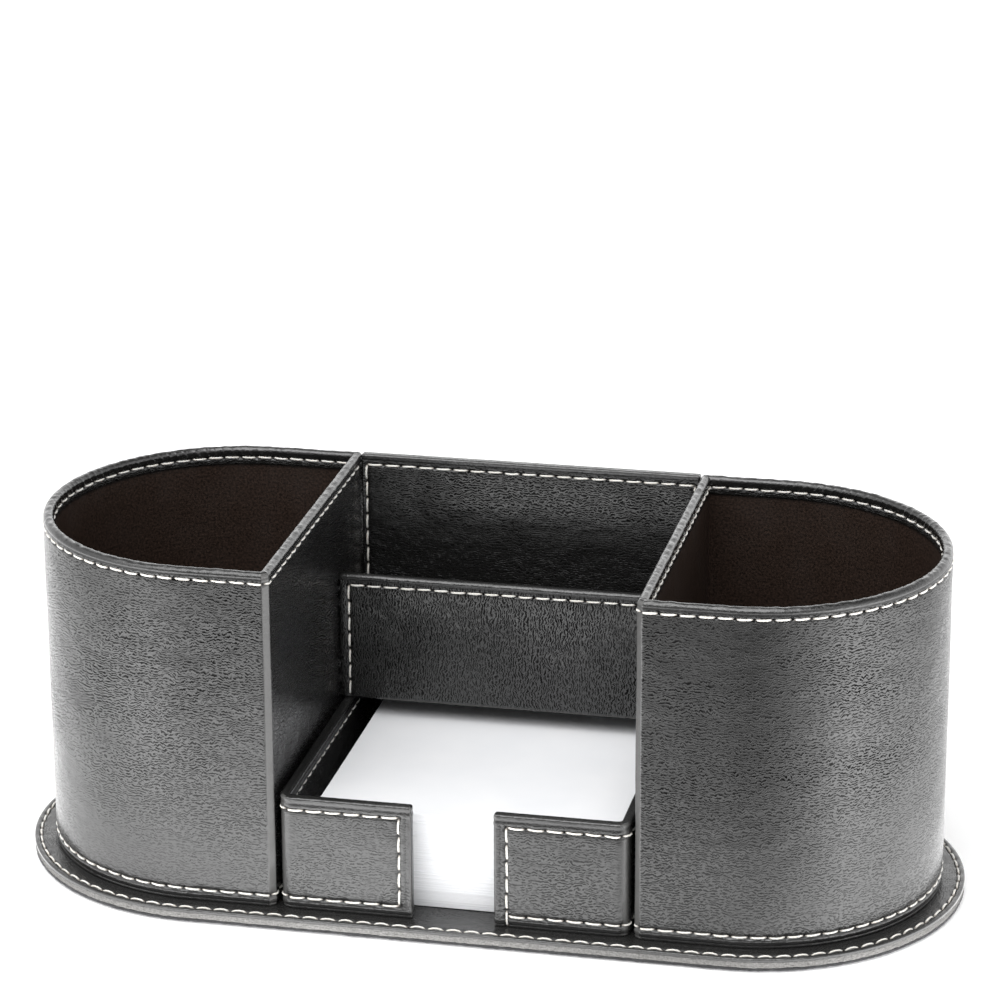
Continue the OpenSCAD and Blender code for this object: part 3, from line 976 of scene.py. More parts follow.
def cup_lining(tag, side, outline, count, seed):
    """A thin, softly uneven sheet that runs up under the hem."""
    heights = np.concatenate([np.linspace(BASE_Z + 0.05, BASE_Z + 3, 8),
                              np.linspace(BASE_Z + 4, HEM_Z - 2, 60),
                              np.linspace(HEM_Z - 1.5, HEM_Z + 0.6, 8)])[::-1]
    hidden = LINING_IN + 0.05
    profile = np.array([(hidden, HEM_Z + 0.6)] + [(LINING_FACE, z) for z in heights]
                       + [(hidden, BASE_Z + 0.05)])
    L = outline.L
    u, z = outline.s[:, None], profile[None, :, 1]
    face = profile[None, :, 0] > LINING_IN + 0.3
    dent, dark = Seam("level", FOOT_SEAM, 0.0, L, L, count, pull=0.12).groove(u, z)
    offset = face * (wobble(u, z, L, seed + 7, 0.16, max_waves=14)
                     * smoothstep(z, BASE_Z + 2, BASE_Z + 9)
                     * (1 - smoothstep(z, HEM_Z - 5, HEM_Z)) + 0.5 * dent)
    # painted shade along the foot seam, under the hem and in the corner at the floor
    crease = np.clip(0.6 * dark * face + 0.9 * bell(z, HEM_Z, 0.5)
                     + 0.9 * bell(z, BASE_Z + 1.2, 0.5), 0, 1)
    points, lengths = sweep(outline, profile, offset, side)
    grid_object(f"{tag}_cup_lining_sheet", points, outline.s, lengths, LINING, "lining",
                [f"{tag}_cup_lining"], crease=crease, u_length=L, v_gap=0.5, flip=side > 0)


def cup_floor(tag, side, outline, seed):
    """A lined card with a soft edge."""
    pad_top = mm("right_cup_floor_pad")[1][2]
    # rows in from the edge of the pad, and their heights
    inset = np.concatenate([[0.0, 0.0, 0.08, 0.25, 0.5, 0.9, 1.6], np.linspace(3, 16, 16)])
    rise = np.array([-0.45, -0.2, -0.06, 0.0, 0.03, 0.04])
    z = np.concatenate([[BASE_Z + 0.02], pad_top + rise, np.full(16, pad_top + 0.05)])
    z[7:] += 0.12 * np.sin(np.linspace(0, 3.1, 16)) ** 2
    profile = np.stack([LINING_FACE + 0.12 + inset, z], 1)
    row = np.arange(len(profile))[None]
    offset = (smoothstep(row, 6, 9) * (1 - smoothstep(row, 16, 21))
              * wobble(outline.s[:, None], row * 3.0, outline.L, seed + 9, 0.06))
    points, _ = sweep(outline, profile, offset, side)
    nu, nv = points.shape[:2]
    quads, _ = grid_faces(nu, nv)
    bottom, top = (np.array([ring]) for ring in edge_rings(nu, nv))
    if side > 0:
        groups = [quads[:, ::-1], top[:, ::-1], bottom]
    else:
        groups = [quads, top, bottom[:, ::-1]]
    verts = points.reshape(-1, 3)
    # painted shade round the edge of the pad, in the corner against the wall
    crease = np.broadcast_to(bell(inset, 0, 0.8), (nu, nv))
    make_mesh(f"{tag}_cup_floor_lining", verts, groups, verts[face_corners(groups)][:, :2],
              {"crease": crease, "wear": np.zeros((nu, nv))}, LINING, "lining",
              [f"{tag}_cup_floor_pad"], index_layer=False)


def cup_threads(tag, side, outline, seams):
    def clear_of_panel(centre):
        """The outside seams stop where the back panel stands against the flat wall."""
        return ~((np.abs(centre[:, 0]) < WALL_X + 0.6) & (centre[:, 1] > back_lo[1] - 0.4))

    def outside(seam, sink):
        return stitches(seam, wall_surface(outline, 0.0, sink), mirror=side,
                        keep=clear_of_panel)

    def inside(seam, inset, sink):
        return stitches(seam, wall_surface(outline, inset, sink, face=-1.0), side=-1.0,
                        mirror=side)

    rim, foot, closing = seams
    for part, chunks in (
            ("rim", [outside(rim, sink=0.22), inside(rim, WALL_HEM, sink=0.14)]),
            ("foot", [outside(foot, sink=0.26), inside(foot, LINING_FACE, sink=0.06)]),
            ("seam", [outside(closing, sink=0.20)])):
        thread_object(f"{tag}_cup_{part}_thread", chunks, f"{tag}_cup_{part}_stitching")


def cup(side):
    """side is -1 for the left cup, 1 for the right. It is worked out on the right and mirrored."""
    tag, mat, seed = (("left", LEFT_CUP_LEATHER, 11) if side < 0
                      else ("right", RIGHT_CUP_LEATHER, 23))
    # from the rear inner corner: forward on the flat wall, along the front, round the end, back
    outline = Outline([(WALL_X, CUP_R), (WALL_X, -CUP_R + FACET), (WALL_X + FACET, -CUP_R),
                       (REACH, -CUP_R), (REACH, CUP_R)],
                      [REAR_R, FACET_R, FACET_R, CUP_R, CUP_R], step=0.44, arc_step=0.2)
    lining_outline = Outline([(WALL_X, CUP_R), (WALL_X, -CUP_R), (REACH, -CUP_R),
                              (REACH, CUP_R)],
                             [REAR_R, FACET_R, CUP_R, CUP_R], step=1.1, arc_step=0.6)
    L = outline.L
    count = stitch_count(L)
    seams = (Seam("level", RIM_SEAM, 0.0, L, L, count, pull=0.26, seed=seed),
             Seam("level", FOOT_SEAM, 0.0, L, L, count, pull=0.30, seed=seed + 1),
             # closing seam on the back straight
             Seam("upright", L - 7.0, FOOT_SEAM, RIM_SEAM, L,
                  stitch_count(RIM_SEAM - FOOT_SEAM), pull=0.24, seed=seed + 2))
    cup_skin(tag, side, outline, seams, mat, seed)
    cup_lining(tag, side, lining_outline, count, seed)
    cup_floor(tag, side, lining_outline, seed)
    cup_threads(tag, side, outline, seams)


cup(-1)
cup(1)


# ------------------------------------------------------------------ straight wrapped walls
def wrapped_wall(name, outline, top_z, seams, mat, replaces, seed, mirror=1, worn_and_highlight=(),
                 bead_at=None):
    """A board wrapped in leather, with a rolled top edge and a tucked foot. Closed mesh.
    The rubbed corners come as (arc length, width) pairs; their paler colour is partly a
    painted highlight. bead_at is the place of an upright groove."""
    half = PANEL / 2 - 0.05                # the top stops just short of the centre line
    L = outline.L
    seam_z = [seam.at for seam in seams if seam.kind == "level"]
    profile = densify(fillet_path(
        [(0.9, BASE_Z + 0.03), (0.10, BASE_Z + 0.05), (0.0, BASE_Z + 1.0), (0.0, top_z),
         (half, top_z)], [0, 0.25, 0.5, 0.9, 0], step=0.1), wall_steps(seam_z, top_z, coarse=0.7))
    u, inset, z = outline.s[:, None], profile[None, :, 0], profile[None, :, 1]
    face = (inset < 0.6).astype(float)
    top = 1 - face
    offset = face * (rim_relief(z, top_z) + foot_relief(z, swell=0.14, groove=0.18)
                     + wobble(u, z, L, seed, 0.05, max_waves=12)
                     * smoothstep(z, BASE_Z + 1.5, BASE_Z + 5)
                     * (1 - smoothstep(z, top_z - 6, top_z - 2)))
    # painted shade under the rolled top edge, at the foot, and in the seam grooves and holes
    crease = face * (0.5 * rim_crease(z, top_z) + foot_crease(z)) + 0 * u
    for seam in seams:
        dent, dark = seam.groove(u, z)
        offset += dent * face
        crease += dark * face
    if bead_at is not None:                # a groove beside a rolled end
        width, depth = 0.22, 0.10
        away = around(u, bead_at, L)
        on = (face * smoothstep(z, BASE_Z + 1, BASE_Z + 3)
              * (1 - smoothstep(z, top_z - 2.2, top_z - 1.2)))
        offset -= depth * bell(away, 0, width) * on
        # painted shade in that groove
        crease += 0.5 * bell(away, 0, width * 0.8) * on
    # fine ripple along the top
    offset += (top * 0.035 * np.sin(u * TURN / 2.3 + 1.4 * np.sin(u * 0.37))
               * smoothstep(half - inset, 0.0, 0.6))
    # wear on the rubbed corners, the top edge and the top; its paler colour is partly a painted
    # highlight
    corner = np.zeros_like(offset)
    for at, width in worn_and_highlight:
        corner += bell(around(u, at, L), 0, width)
    edge = bell(z, top_z - 0.3, 0.35)
    wear = np.clip(corner * face * 0.9 + 0.28 * edge + 0.15 * top, 0, 1)
    flat = np.clip(wear + 0.85 * (z > top_z - 1.6) + 0.7 * face * (z < BASE_Z + 2.2), 0, 1)
    points, lengths = sweep(outline, profile, offset, mirror)
    ob = grid_object(name, points, outline.s, lengths, mat, "leather", replaces,
                     crease=np.clip(crease, 0, 1), wear=wear, flat=flat, u_length=L,
                     flip=mirror < 0)
    bottom_ring, top_ring = edge_rings(*offset.shape)
    cap_flat(ob, bottom_ring, upward=False)
    cap_flat(ob, top_ring, upward=True)


def back_panel():
    end_r = 0.55
    (x0, y0), (x1, y1) = back_lo[:2], back_hi[:2]
    outline = Outline([(x0, y0), (x1, y0), (x1, y1), (x0, y1)], [end_r] * 4, step=0.44,
                      arc_step=0.18)
    L = outline.L
    seam_in = float(x1 - mm("back_panel_stitching")[1][0]) + SEAM_EDGE
    front = outline.corner_s(0)[1] + (seam_in - end_r)
    rear = outline.corner_s(2)[1] + (seam_in - end_r)
    run = (x1 - x0) - 2 * seam_in
    rise = stitch_count(RIM_SEAM - FOOT_SEAM)
    seams = [level_seam(RIM_SEAM, front, run, L, seed=41),
             level_seam(RIM_SEAM, rear, run, L, seed=42),
             level_seam(FOOT_SEAM, rear, run, L, seed=43)]
    for i, at in enumerate((front, front + run, rear, rear + run)):
        seams.append(Seam("upright", at, FOOT_SEAM, RIM_SEAM, L, rise, seed=44 + i))
    wrapped_wall("back_panel_leather", outline, RIM_TOP, seams, BACK_LEATHER,
                 ["back_panel_cover"], seed=401)
    surface = wall_surface(outline, 0.0, sink=0.22)
    thread_object("back_panel_thread", [stitches(seam, surface) for seam in seams],
                  "back_panel_stitching")


def tray(side):
    """An L-shaped wall. side is -1 for the left; the right one is its mirror."""
    tag, mirror, seed, mat = (("left", 1, 61, LEFT_TRAY_LEATHER) if side < 0
                              else ("right", -1, 71, RIGHT_TRAY_LEATHER))
    (x0, y0), (x1, y1), t = tray_lo[:2], tray_hi[:2], PANEL
    top_z = tray_hi[2]
    seam_z = mm("tray_left_stitching")[1][2] - SEAM_EDGE
    # on the left: front outer corner, both corners of the end at the gap, the inside corner,
    # then the rear end of the side wall
    outline = Outline([(x0, y0), (x1, y0), (x1, y0 + t), (x0 + t, y0 + t), (x0 + t, y1),
                       (x0, y1)],
                      [TRAY_R, 0.7, 0.7, TRAY_R - t, 0.5, 0.5], step=0.44, arc_step=0.22)
    L = outline.L
    seam_in = top_z - seam_z
    gap_front = outline.corner_s(1)[0] + 0.75 - seam_in
    gap_rear = outline.corner_s(2)[1] - 0.75 + seam_in
    # the outer seams start a little way round the outer corner
    outer_start = (outline.corner_s(0)[0] - 10.0) % L
    outer_run = (gap_front - outer_start) % L
    inner_run = (outline.corner_s(4)[0] - 3.0 - gap_rear) % L
    rise = stitch_count(seam_z - FOOT_SEAM)
    # the right tray's front upright seam goes lower, by one stitch
    drop, extra = (0.0, 0) if side < 0 else (PITCH * 0.62, 1)
    outer_seams = [
        level_seam(seam_z, outer_start, outer_run, L, seed=seed),
        level_seam(FOOT_SEAM, outer_start, outer_run, L, seed=seed + 1),
        Seam("upright", gap_front, FOOT_SEAM - drop, seam_z, L, rise + extra, seed=seed + 2)]
    inner_seams = [
        level_seam(seam_z, gap_rear, inner_run, L, seed=seed + 3),
        level_seam(FOOT_SEAM, gap_rear, inner_run, L, seed=seed + 4),
        Seam("upright", gap_rear, FOOT_SEAM, seam_z, L, rise, seed=seed + 5)]
    wrapped_wall(f"tray_{tag}_leather", outline, top_z, outer_seams + inner_seams, mat,
                 [f"tray_{tag}_cover"], seed=seed + 10, mirror=mirror,
                 worn_and_highlight=[(outline.corner_mid(0), 1.6), (outline.corner_mid(1), 0.5),
                       (outline.corner_mid(2), 0.5)],
                 bead_at=outline.corner_s(1)[0] - 0.75)
    surface = wall_surface(outline, 0.0, sink=0.22)
    chunks = [stitches(seam, surface, mirror=mirror) for seam in outer_seams]
    chunks += [stitches(seam, surface, half_width=0.22, half_height=0.15, lift=0.04,
                        mirror=mirror) for seam in inner_seams]
    thread_object(f"tray_{tag}_thread", chunks, f"tray_{tag}_stitching")


back_panel()
tray(-1)
tray(1)

# ------------------------------------------------------------------ phone slot
# An upright panel with a shelf behind it, in one folded cover.
SLOT_X0, SLOT_FRONT, SLOT_BOTTOM = slot_lo
SLOT_X1, SLOT_END, SLOT_TOP = slot_hi
SLOT_BACK = SLOT_FRONT + PANEL             # rear face of the panel
SLOT_HEM = SLOT_TOP - (RIM_TOP - HEM_Z)
SLOT_SEAM_IN = RIM_TOP - RIM_SEAM
SLOT_SEAM = SLOT_TOP - SLOT_SEAM_IN


def slot_cover():
    # (y, z): from the rear of the underside forward, up the front, over the top, down the hem
    def step(p):
        y, z = p
        near = min(abs(z - SLOT_SEAM), abs(z - SLOT_TOP) * 0.8,
                   abs(z - SLOT_BOTTOM) * 0.8 + (0 if y < SLOT_FRONT + 1 else 1.5))
        return row_step(near, coarse=0.6)

    hem_in = SLOT_BACK - 0.42
    visible = densify(fillet_path(
        [(SLOT_END, SLOT_BOTTOM), (SLOT_FRONT, SLOT_BOTTOM), (SLOT_FRONT, SLOT_TOP),
         (SLOT_BACK, SLOT_TOP), (SLOT_BACK, SLOT_HEM), (hem_in, SLOT_HEM)],
        [0, 0.7, 1.0, 0.9, 0.15, 0], step=0.1), step)
    hidden = [(hem_in, SLOT_TOP - 1.3), (SLOT_FRONT + 0.9, SLOT_TOP - 1.3),
              (SLOT_FRONT + 0.85, SLOT_TOP - 2.0), (SLOT_FRONT + 0.85, SLOT_BOTTOM + 0.85),
              (SLOT_END, SLOT_BOTTOM + 0.85)]
    section = np.vstack([visible, hidden])
    shown = (np.arange(len(section)) < len(visible)).astype(float)[None]

    left, right = SLOT_X0 + SLOT_SEAM_IN, SLOT_X1 - SLOT_SEAM_IN
    open_length = 4000.0                   # long enough that u never wraps round
    rise = stitch_count(SLOT_SEAM - SLOT_BOTTOM - 1.0)
    front_seams = [level_seam(SLOT_SEAM, left, right - left, open_length, pull=0.26, seed=81)]
    for at, seed in ((left, 82), (right, 83)):
        front_seams.append(Seam("upright", at, SLOT_BOTTOM + 0.6, SLOT_SEAM, open_length, rise,
                                pull=0.24, seed=seed))
    rear_seam = level_seam(SLOT_SEAM, left, right - left, open_length, pull=0.22, seed=84)

    xs = np.linspace(SLOT_X0, SLOT_X1, 199)
    x, y, z = xs[:, None], section[None, :, 0], section[None, :, 1]
    front = (y < SLOT_FRONT + 0.45) * shown
    rear = (y > SLOT_BACK - 0.3) * (z > SLOT_HEM - 0.1) * shown
    dent, dark = rear_seam.groove(x, z)
    offset = 0.8 * dent * rear
    # painted shade in the seam grooves and holes, and under the rolled top edge
    crease = dark * rear
    for seam in front_seams:
        dent, dark = seam.groove(x, z)
        offset += dent * front
        crease += dark * front
    offset += front * rim_relief(z, SLOT_TOP)
    crease += front * 0.5 * rim_crease(z, SLOT_TOP)
    across = x - SLOT_X0
    offset += (front * wobble(across, z, 190.0, 501, 0.07, max_waves=8)
               * smoothstep(z, SLOT_BOTTOM + 2, SLOT_BOTTOM + 6)
               * (1 - smoothstep(z, SLOT_TOP - 7, SLOT_TOP - 3))
               * smoothstep(across, 4, 8) * (1 - smoothstep(across, 79, 83)))
    # gathered folds of the hem
    offset += (rear * 0.10 * np.maximum(0, np.sin(TURN * (x / 2.6 + 0.15 * z))) ** 1.5
               * bell(z, SLOT_SEAM + 1, 1.4))
    # the ends of the panel roll in a little
    offset -= (0.45 * (bell(x, SLOT_X0, 0.55) + bell(x, SLOT_X1, 0.55))
               * shown * (y < SLOT_BACK + 1))
    # painted shade where the ends roll in
    crease += shown * 0.5 * (bell(x, SLOT_X0, 0.5) + bell(x, SLOT_X1, 0.5))
    # wear along the top and bottom edges; its paler colour is partly a painted highlight
    edge = shown * (bell(z, SLOT_TOP - 0.3, 0.35)
                    + 0.6 * bell(z, SLOT_BOTTOM + 0.3, 0.4) * (y < SLOT_FRONT + 1.0))
    wear = np.clip(0.3 * edge, 0, 1)
    flat = np.clip(wear + 0.85 * (z > SLOT_TOP - 1.6) * (y < SLOT_BACK + 1)
                   + 0.5 * (z < SLOT_BOTTOM + 1.0), 0, 1)
    extruded("slot_cover_leather", xs, section, offset, SLOT_LEATHER, "leather",
             ["slot_cover"], flip=True, crease=np.clip(crease, 0, 1), wear=wear, flat=flat)

    def front_surface(u, z, h):
        return np.stack([u, SLOT_FRONT - (h - 0.22), z], 1)

    def rear_surface(u, z, h):
        return np.stack([u, SLOT_BACK + (h - 0.12), z], 1)

    chunks = [stitches(seam, front_surface) for seam in front_seams]
    chunks.append(stitches(rear_seam, rear_surface, side=-1.0))
    thread_object("slot_thread", chunks, "slot_stitching")


def slot_lining():
    """Behind the panel and over the shelf, in one folded sheet."""
    face_y = SLOT_BACK - 0.42 + 0.02                      # behind the panel, under the hem
    shelf_z = mm("slot_shelf_board")[1][2] + 0.55
    top = SLOT_HEM + 0.5
    visible = densify(fillet_path(
        [(face_y - 0.4, top), (face_y, top), (face_y, shelf_z), (SLOT_END, shelf_z),
         (SLOT_END, shelf_z - 0.4)], [0, 0.05, 0.8, 0.1, 0], step=0.15), lambda p: 0.7)
    section = np.vstack([visible, [(face_y - 0.4, shelf_z - 0.5)]])
    xs = np.linspace(SLOT_X0 + 0.1, SLOT_X1 - 0.1, 90)
    x, y, z = xs[:, None], section[None, :, 0], section[None, :, 1]
    moves = np.ones(len(section))
    moves[[0, -1]] = 0
    across = x - SLOT_X0
    offset = (wobble(x, y * 3 + z, 180.0, 601, 0.10, max_waves=8) * moves
              * smoothstep(across, 0.5, 6) * (1 - smoothstep(across, 81, 86.5)))
    # painted shade in the fold behind the panel and under the hem
    fold = np.exp(-((y - face_y) ** 2 + (z - shelf_z) ** 2) / 0.8)
    crease = np.clip(fold + bell(z, SLOT_HEM, 0.4), 0, 1)
    extruded("slot_lining_sheet", xs, section, offset, LINING, "lining", ["slot_lining"],
             flip=False, crease=crease)


slot_cover()
slot_lining()

# ------------------------------------------------------------------ base mat
MAT_X, MAT_R = cover_hi[:2]                # half length; half depth, the radius of the ends
MAT_BOTTOM, MAT_TOP = cover_lo[2], cover_hi[2]


def mat_outline(step):
    return Outline([(-MAT_X, -MAT_R), (MAT_X, -MAT_R), (MAT_X, MAT_R), (-MAT_X, MAT_R)],
                   [MAT_R] * 4, step, step)


def base_cover():
    outline = mat_outline(0.55)
    L = outline.L
    # from the middle of the underside out to the edge, up and over, and in to the middle
    edge_r = 0.32
    middle = MAT_R - 0.4
    rows = np.concatenate([np.arange(0.0, 3.2, 0.17), np.arange(3.3, 8, 0.45),
                           np.linspace(8.5, middle, 26)])
    profile = [(middle, MAT_BOTTOM), (8.0, MAT_BOTTOM), (0.35, MAT_BOTTOM),
               (0.03, MAT_BOTTOM + 0.02), (0.0, MAT_BOTTOM + 0.12)]
    profile += [(edge_r - edge_r * math.cos(a), MAT_TOP - edge_r + edge_r * math.sin(a))
                for a in np.linspace(0, math.pi / 2, 6)]
    profile += [(edge_r + i, MAT_TOP) for i in rows[1:] if edge_r + i < middle]
    profile = np.array(profile + [(middle, MAT_TOP)])
    u, inset, z = outline.s[:, None], profile[None, :, 0], profile[None, :, 1]
    # a seam on the flat top, where the inset takes the place of z
    seam = Seam("level", BASE_SEAM, 0.0, L, L, stitch_count(L), pull=0.24, seed=91)
    top = ((z > MAT_TOP - 0.02) & (inset > 0.2)).astype(float)
    dent, dark = seam.groove(u, inset)
    offset = top * (dent + 0.10 * bell(inset, 0.75, 0.4)
                    + wobble(u, inset * 2, L, 701, 0.06, max_waves=30)
                    * smoothstep(inset, 2.0, 3.0) * (1 - smoothstep(inset, 9, 14)))
    # wear along the rounded edge; its paler colour is partly a painted highlight
    wear = np.clip(0.5 * bell(inset, 0.3, 0.35) * (z > MAT_BOTTOM + 0.2), 0, 1)
    points, lengths = sweep(outline, profile, offset)
    # painted shade in the seam's groove and holes
    ob = grid_object("base_cover_leather", points, outline.s, lengths, BASE_LEATHER,
                     "leather", ["base_top_cover"], crease=np.clip(top * dark, 0, 1),
                     wear=wear, flat=np.clip(wear + 0.6 * (inset < 1.0), 0, 1), u_length=L)
    cap_sweep(ob, *offset.shape)

    sample = outline.sampler(0.0)

    def surface(u, inset, h):
        x, normal = sample(u)
        return np.concatenate([x - normal * inset[:, None], (MAT_TOP + h - 0.16)[:, None]], 1)

    chunk = stitches(seam, surface, half_height=0.24, lift=0.12, reverse=True)
    thread_object("base_thread", [chunk], "base_stitching")


def rough_layer(name, z0, z1, inset, mat, replaces, slot, seed, amp, soft):
    """A flat layer with a cut or fluffy edge. amp is the roughness of the edge, soft how far
    its top and bottom are rounded in."""
    edge_rows = 9
    outline = mat_outline(0.4)
    rounding = np.abs(np.linspace(-1, 1, edge_rows)) ** 4 * soft
    profile = [(MAT_R - 1.0, z0), (20, z0), (4, z0), (1.0 + inset, z0)]
    first = len(profile)
    profile += [(inset + r, z) for z, r in zip(np.linspace(z0, z1, edge_rows), rounding)]
    profile += [(1.0 + inset, z1), (4, z1), (20, z1), (MAT_R - 1.0, z1)]
    profile = np.array(profile)
    rng = np.random.default_rng(seed)
    n = len(outline.s)
    fine = rng.normal(0, 1, (n, edge_rows))
    fine = (fine + np.roll(fine, 1, 0) + np.roll(fine, -1, 0) * 0.7) / 2.2
    slow = rng.normal(0, 1, n)
    slow = np.convolve(np.concatenate([slow[-7:], slow, slow[:7]]), np.ones(15) / 15,
                       "valid") * 3
    offset = np.zeros((n, len(profile)))
    offset[:, first:first + edge_rows] = amp * fine + amp * 0.7 * slow[:, None]
    points, lengths = sweep(outline, profile, offset)
    ob = grid_object(name, points, outline.s, lengths, mat, slot, replaces,
                     u_length=outline.L)
    cap_sweep(ob, *offset.shape)


base_cover()
board_lo, board_hi = mm("base_board")
felt_lo, felt_hi = mm("base_underside")
rough_layer("base_board_layer", board_lo[2] + 0.01, board_hi[2] - 0.01, inset=0.22,
            mat=CUT_EDGE, replaces=["base_board"], slot="board_core", seed=801, amp=0.05,
            soft=0.06)
rough_layer("base_felt_layer", felt_lo[2], felt_hi[2], inset=0.18, mat=FELT,
            replaces=["base_underside"], slot="underside_felt", seed=802, amp=0.05, soft=0.16)


# ------------------------------------------------------------------ notes
def slab_faces(g):
    """Quads of a g by g slab whose points are numbered (x, y, bottom or top)."""
    idx = np.arange(g * g * 2).reshape(g, g, 2)
    m = g - 1
    faces = []
    for i in range(m):
        for j in range(m):
            faces.append([idx[i, j, 1], idx[i + 1, j, 1], idx[i + 1, j + 1, 1],
                          idx[i, j + 1, 1]])
            faces.append([idx[i, j, 0], idx[i, j + 1, 0], idx[i + 1, j + 1, 0],
                          idx[i + 1, j, 0]])
    for i in range(m):
        for a, b in (((i, 0), (i + 1, 0)), ((i + 1, m), (i, m)),
                     ((0, i + 1), (0, i)), ((m, i), (m, i + 1))):
            faces.append([idx[a][0], idx[b][0], idx[b][1], idx[a][1]])
    return np.array(faces)


def note_sheets():
    """Many thin leaves, each a little out of line; the top one lifts at its corners."""
    leaves = 76
    gap = 0.035                                           # between leaves
    lo, hi = mm("note_stack")
    bottom = lo[2] + 0.16                                 # clear of the waves in the base
    pitch = (hi[2] - bottom) / leaves
    centre_x, centre_y = (lo[:2] + hi[:2]) / 2
    half_x, half_y = (hi[:2] - lo[:2]) / 2
    rng = np.random.default_rng(911)
    drift = np.cumsum(rng.normal(0, 0.018, (leaves, 2)), 0)
    drift -= drift.mean(0)
    drift = np.clip(drift, -0.14, 0.14)
    verts, faces, start = [], [], 0
    for k in range(leaves):
        last = k == leaves - 1
        dx, dy = drift[k] + rng.normal(0, 0.035, 2)
        angle = rng.normal(0, 0.0006)
        short = 0.12 + abs(rng.normal(0, 0.05)) + 0.1     # how far its edge stays inside
        g = 13 if last else 3
        line = np.linspace(-1, 1, g)
        gx, gy = np.meshgrid(line * (half_x - short), line * (half_y - short), indexing="ij")
        c, s = math.cos(angle), math.sin(angle)
        x, y = gx * c - gy * s + centre_x + dx, gx * s + gy * c + centre_y + dy
        lift = np.zeros_like(x)
        if last:
            lift = (0.28 * np.abs(gx / half_x) ** 3 * np.abs(gy / half_y) ** 3
                    + 0.05 * np.sin(gx * 0.06) * np.cos(gy * 0.05))
            lift = np.maximum(lift, 0)
        z0 = bottom + k * pitch
        z1 = bottom + (k + 1) * pitch - gap
        layers = [np.stack([x, y, z + lift], -1) for z in (z0, z1)]
        verts.append(np.stack(layers, 2).reshape(-1, 3))
        faces.append(slab_faces(g) + start)
        start += len(verts[-1])
    verts, faces = np.vstack(verts), np.vstack(faces)
    attrs = {key: np.zeros(len(verts)) for key in ("crease", "wear", "ply")}
    make_mesh("note_sheets", verts, [faces], verts[faces.ravel()][:, :2], attrs, PAPER,
              "paper", ["note_stack"], body=NOTES, smooth=False)


note_sheets()

# ------------------------------------------------------------------ boards that stay CAD solids
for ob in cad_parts.values():
    if not ob.hide_render:
        ob.data.materials.clear()
        ob.data.materials.append(BOARD)

# ------------------------------------------------------------------ floor, light, camera
# A bright floor round the object, a soft box high on the camera's side and a dim backdrop.
# The camera itself sees plain white. Each list goes round the compass in 16 steps,
# counterclockwise from +X.
# SKY: radiance in bands of height, up to 15, 35, 55 and 75 degrees; SKY_TOP lies above them.
SKY = [[1.49, 1.20, 1.60, 2.00, 2.00, 2.00, 1.60, 1.10,
        0.82, 1.10, 1.23, 0.40, 0.20, 0.20, 0.50, 1.65],
       [1.00, 0.80, 1.15, 1.40, 1.40, 1.40, 1.15, 0.85,
        0.99, 1.38, 1.63, 0.50, 0.30, 0.30, 0.60, 1.34],
       [0.34, 0.34, 0.50, 0.50, 0.50, 0.50, 0.41, 0.50,
        1.00, 2.20, 3.32, 4.00, 4.50, 4.00, 1.93, 0.85],
       [0.00, 0.00, 0.00, 0.00, 0.00, 0.14, 0.27, 0.44,
        0.89, 1.83, 3.16, 5.00, 5.00, 5.00, 1.91, 0.35]]
SKY_TOP = 2.50
SKY_BLENDS = [tuple(math.radians(e + d) for d in (-5, 5)) for e in (15, 35, 55)]
# FLOOR: radiance in rings that start at the mat and go outwards; FLOOR_BLENDS are the
# distances from the mat, in metres, over which one ring passes into the next.
FLOOR = [[2.76, 1.69, 1.22, 1.41, 1.58, 1.76, 1.96, 2.17,
          2.26, 2.70, 3.47, 3.92, 3.29, 3.00, 1.99, 3.91],
         [3.10, 1.86, 1.75, 1.51, 1.57, 1.70, 1.98, 2.32,
          2.22, 2.96, 4.61, 2.57, 2.03, 0.71, 1.41, 4.79],
         [2.40, 0.90, 1.35, 1.40, 1.35, 1.51, 1.73, 1.91,
          1.50, 1.69, 2.56, 1.32, 0.25, 0.04, 1.67, 3.91],
         [2.58, 1.89, 1.65, 1.58, 1.55, 1.60, 1.66, 1.71,
          1.67, 1.80, 2.05, 1.88, 1.45, 1.49, 2.26, 2.98]]
FLOOR_BLENDS = [(0.03, 0.09), (0.12, 0.22), (0.30, 0.60)]
PEAK = 12.0                                # radiance of a ramp colour of 1


def compass(k, x, y):
    """Direction in plan as 0 to 1, counterclockwise from +X."""
    part = k.math("DIVIDE", k.math("ARCTAN2", y, x), TURN)
    return k.math("FRACT", k.add(part, 1.0))


def compass_bands(k, direction, position, tables, blends):
    """Compass ramps, blended one into the next along position."""
    def ramp(table):
        return k.ramp(direction, [(i / 16.0, grey(table[i % 16] / PEAK)) for i in range(17)])

    color = ramp(tables[0])
    for table, blend in zip(tables[1:], blends):
        color = k.mix(k.remap(position, old=blend, smooth=True), color, ramp(table))
    return color


def build_world():
    world = bpy.data.worlds.new("studio")
    bpy.context.scene.world = world
    world.use_nodes = True
    k = Nodes(world.node_tree)
    output = k.new("ShaderNodeOutputWorld")
    background = k.new("ShaderNodeBackground")
    k.put(output.inputs[0], background.outputs[0])
    x, y, z = k.split(k.new("ShaderNodeTexCoord").outputs["Generated"])
    direction = compass(k, x, y)
    elevation = k.math("ARCSINE", z)
    sky = compass_bands(k, direction, elevation, SKY, SKY_BLENDS)
    overhead = k.remap(elevation, old=(math.radians(70), math.radians(80)), smooth=True)
    sky = k.mix(overhead, sky, grey(SKY_TOP / PEAK))
    seen = grey(1.1 / PEAK)                # plain white for the camera
    k.fill(background, {0: k.mix(k.is_camera_ray(), sky, seen), 1: PEAK})


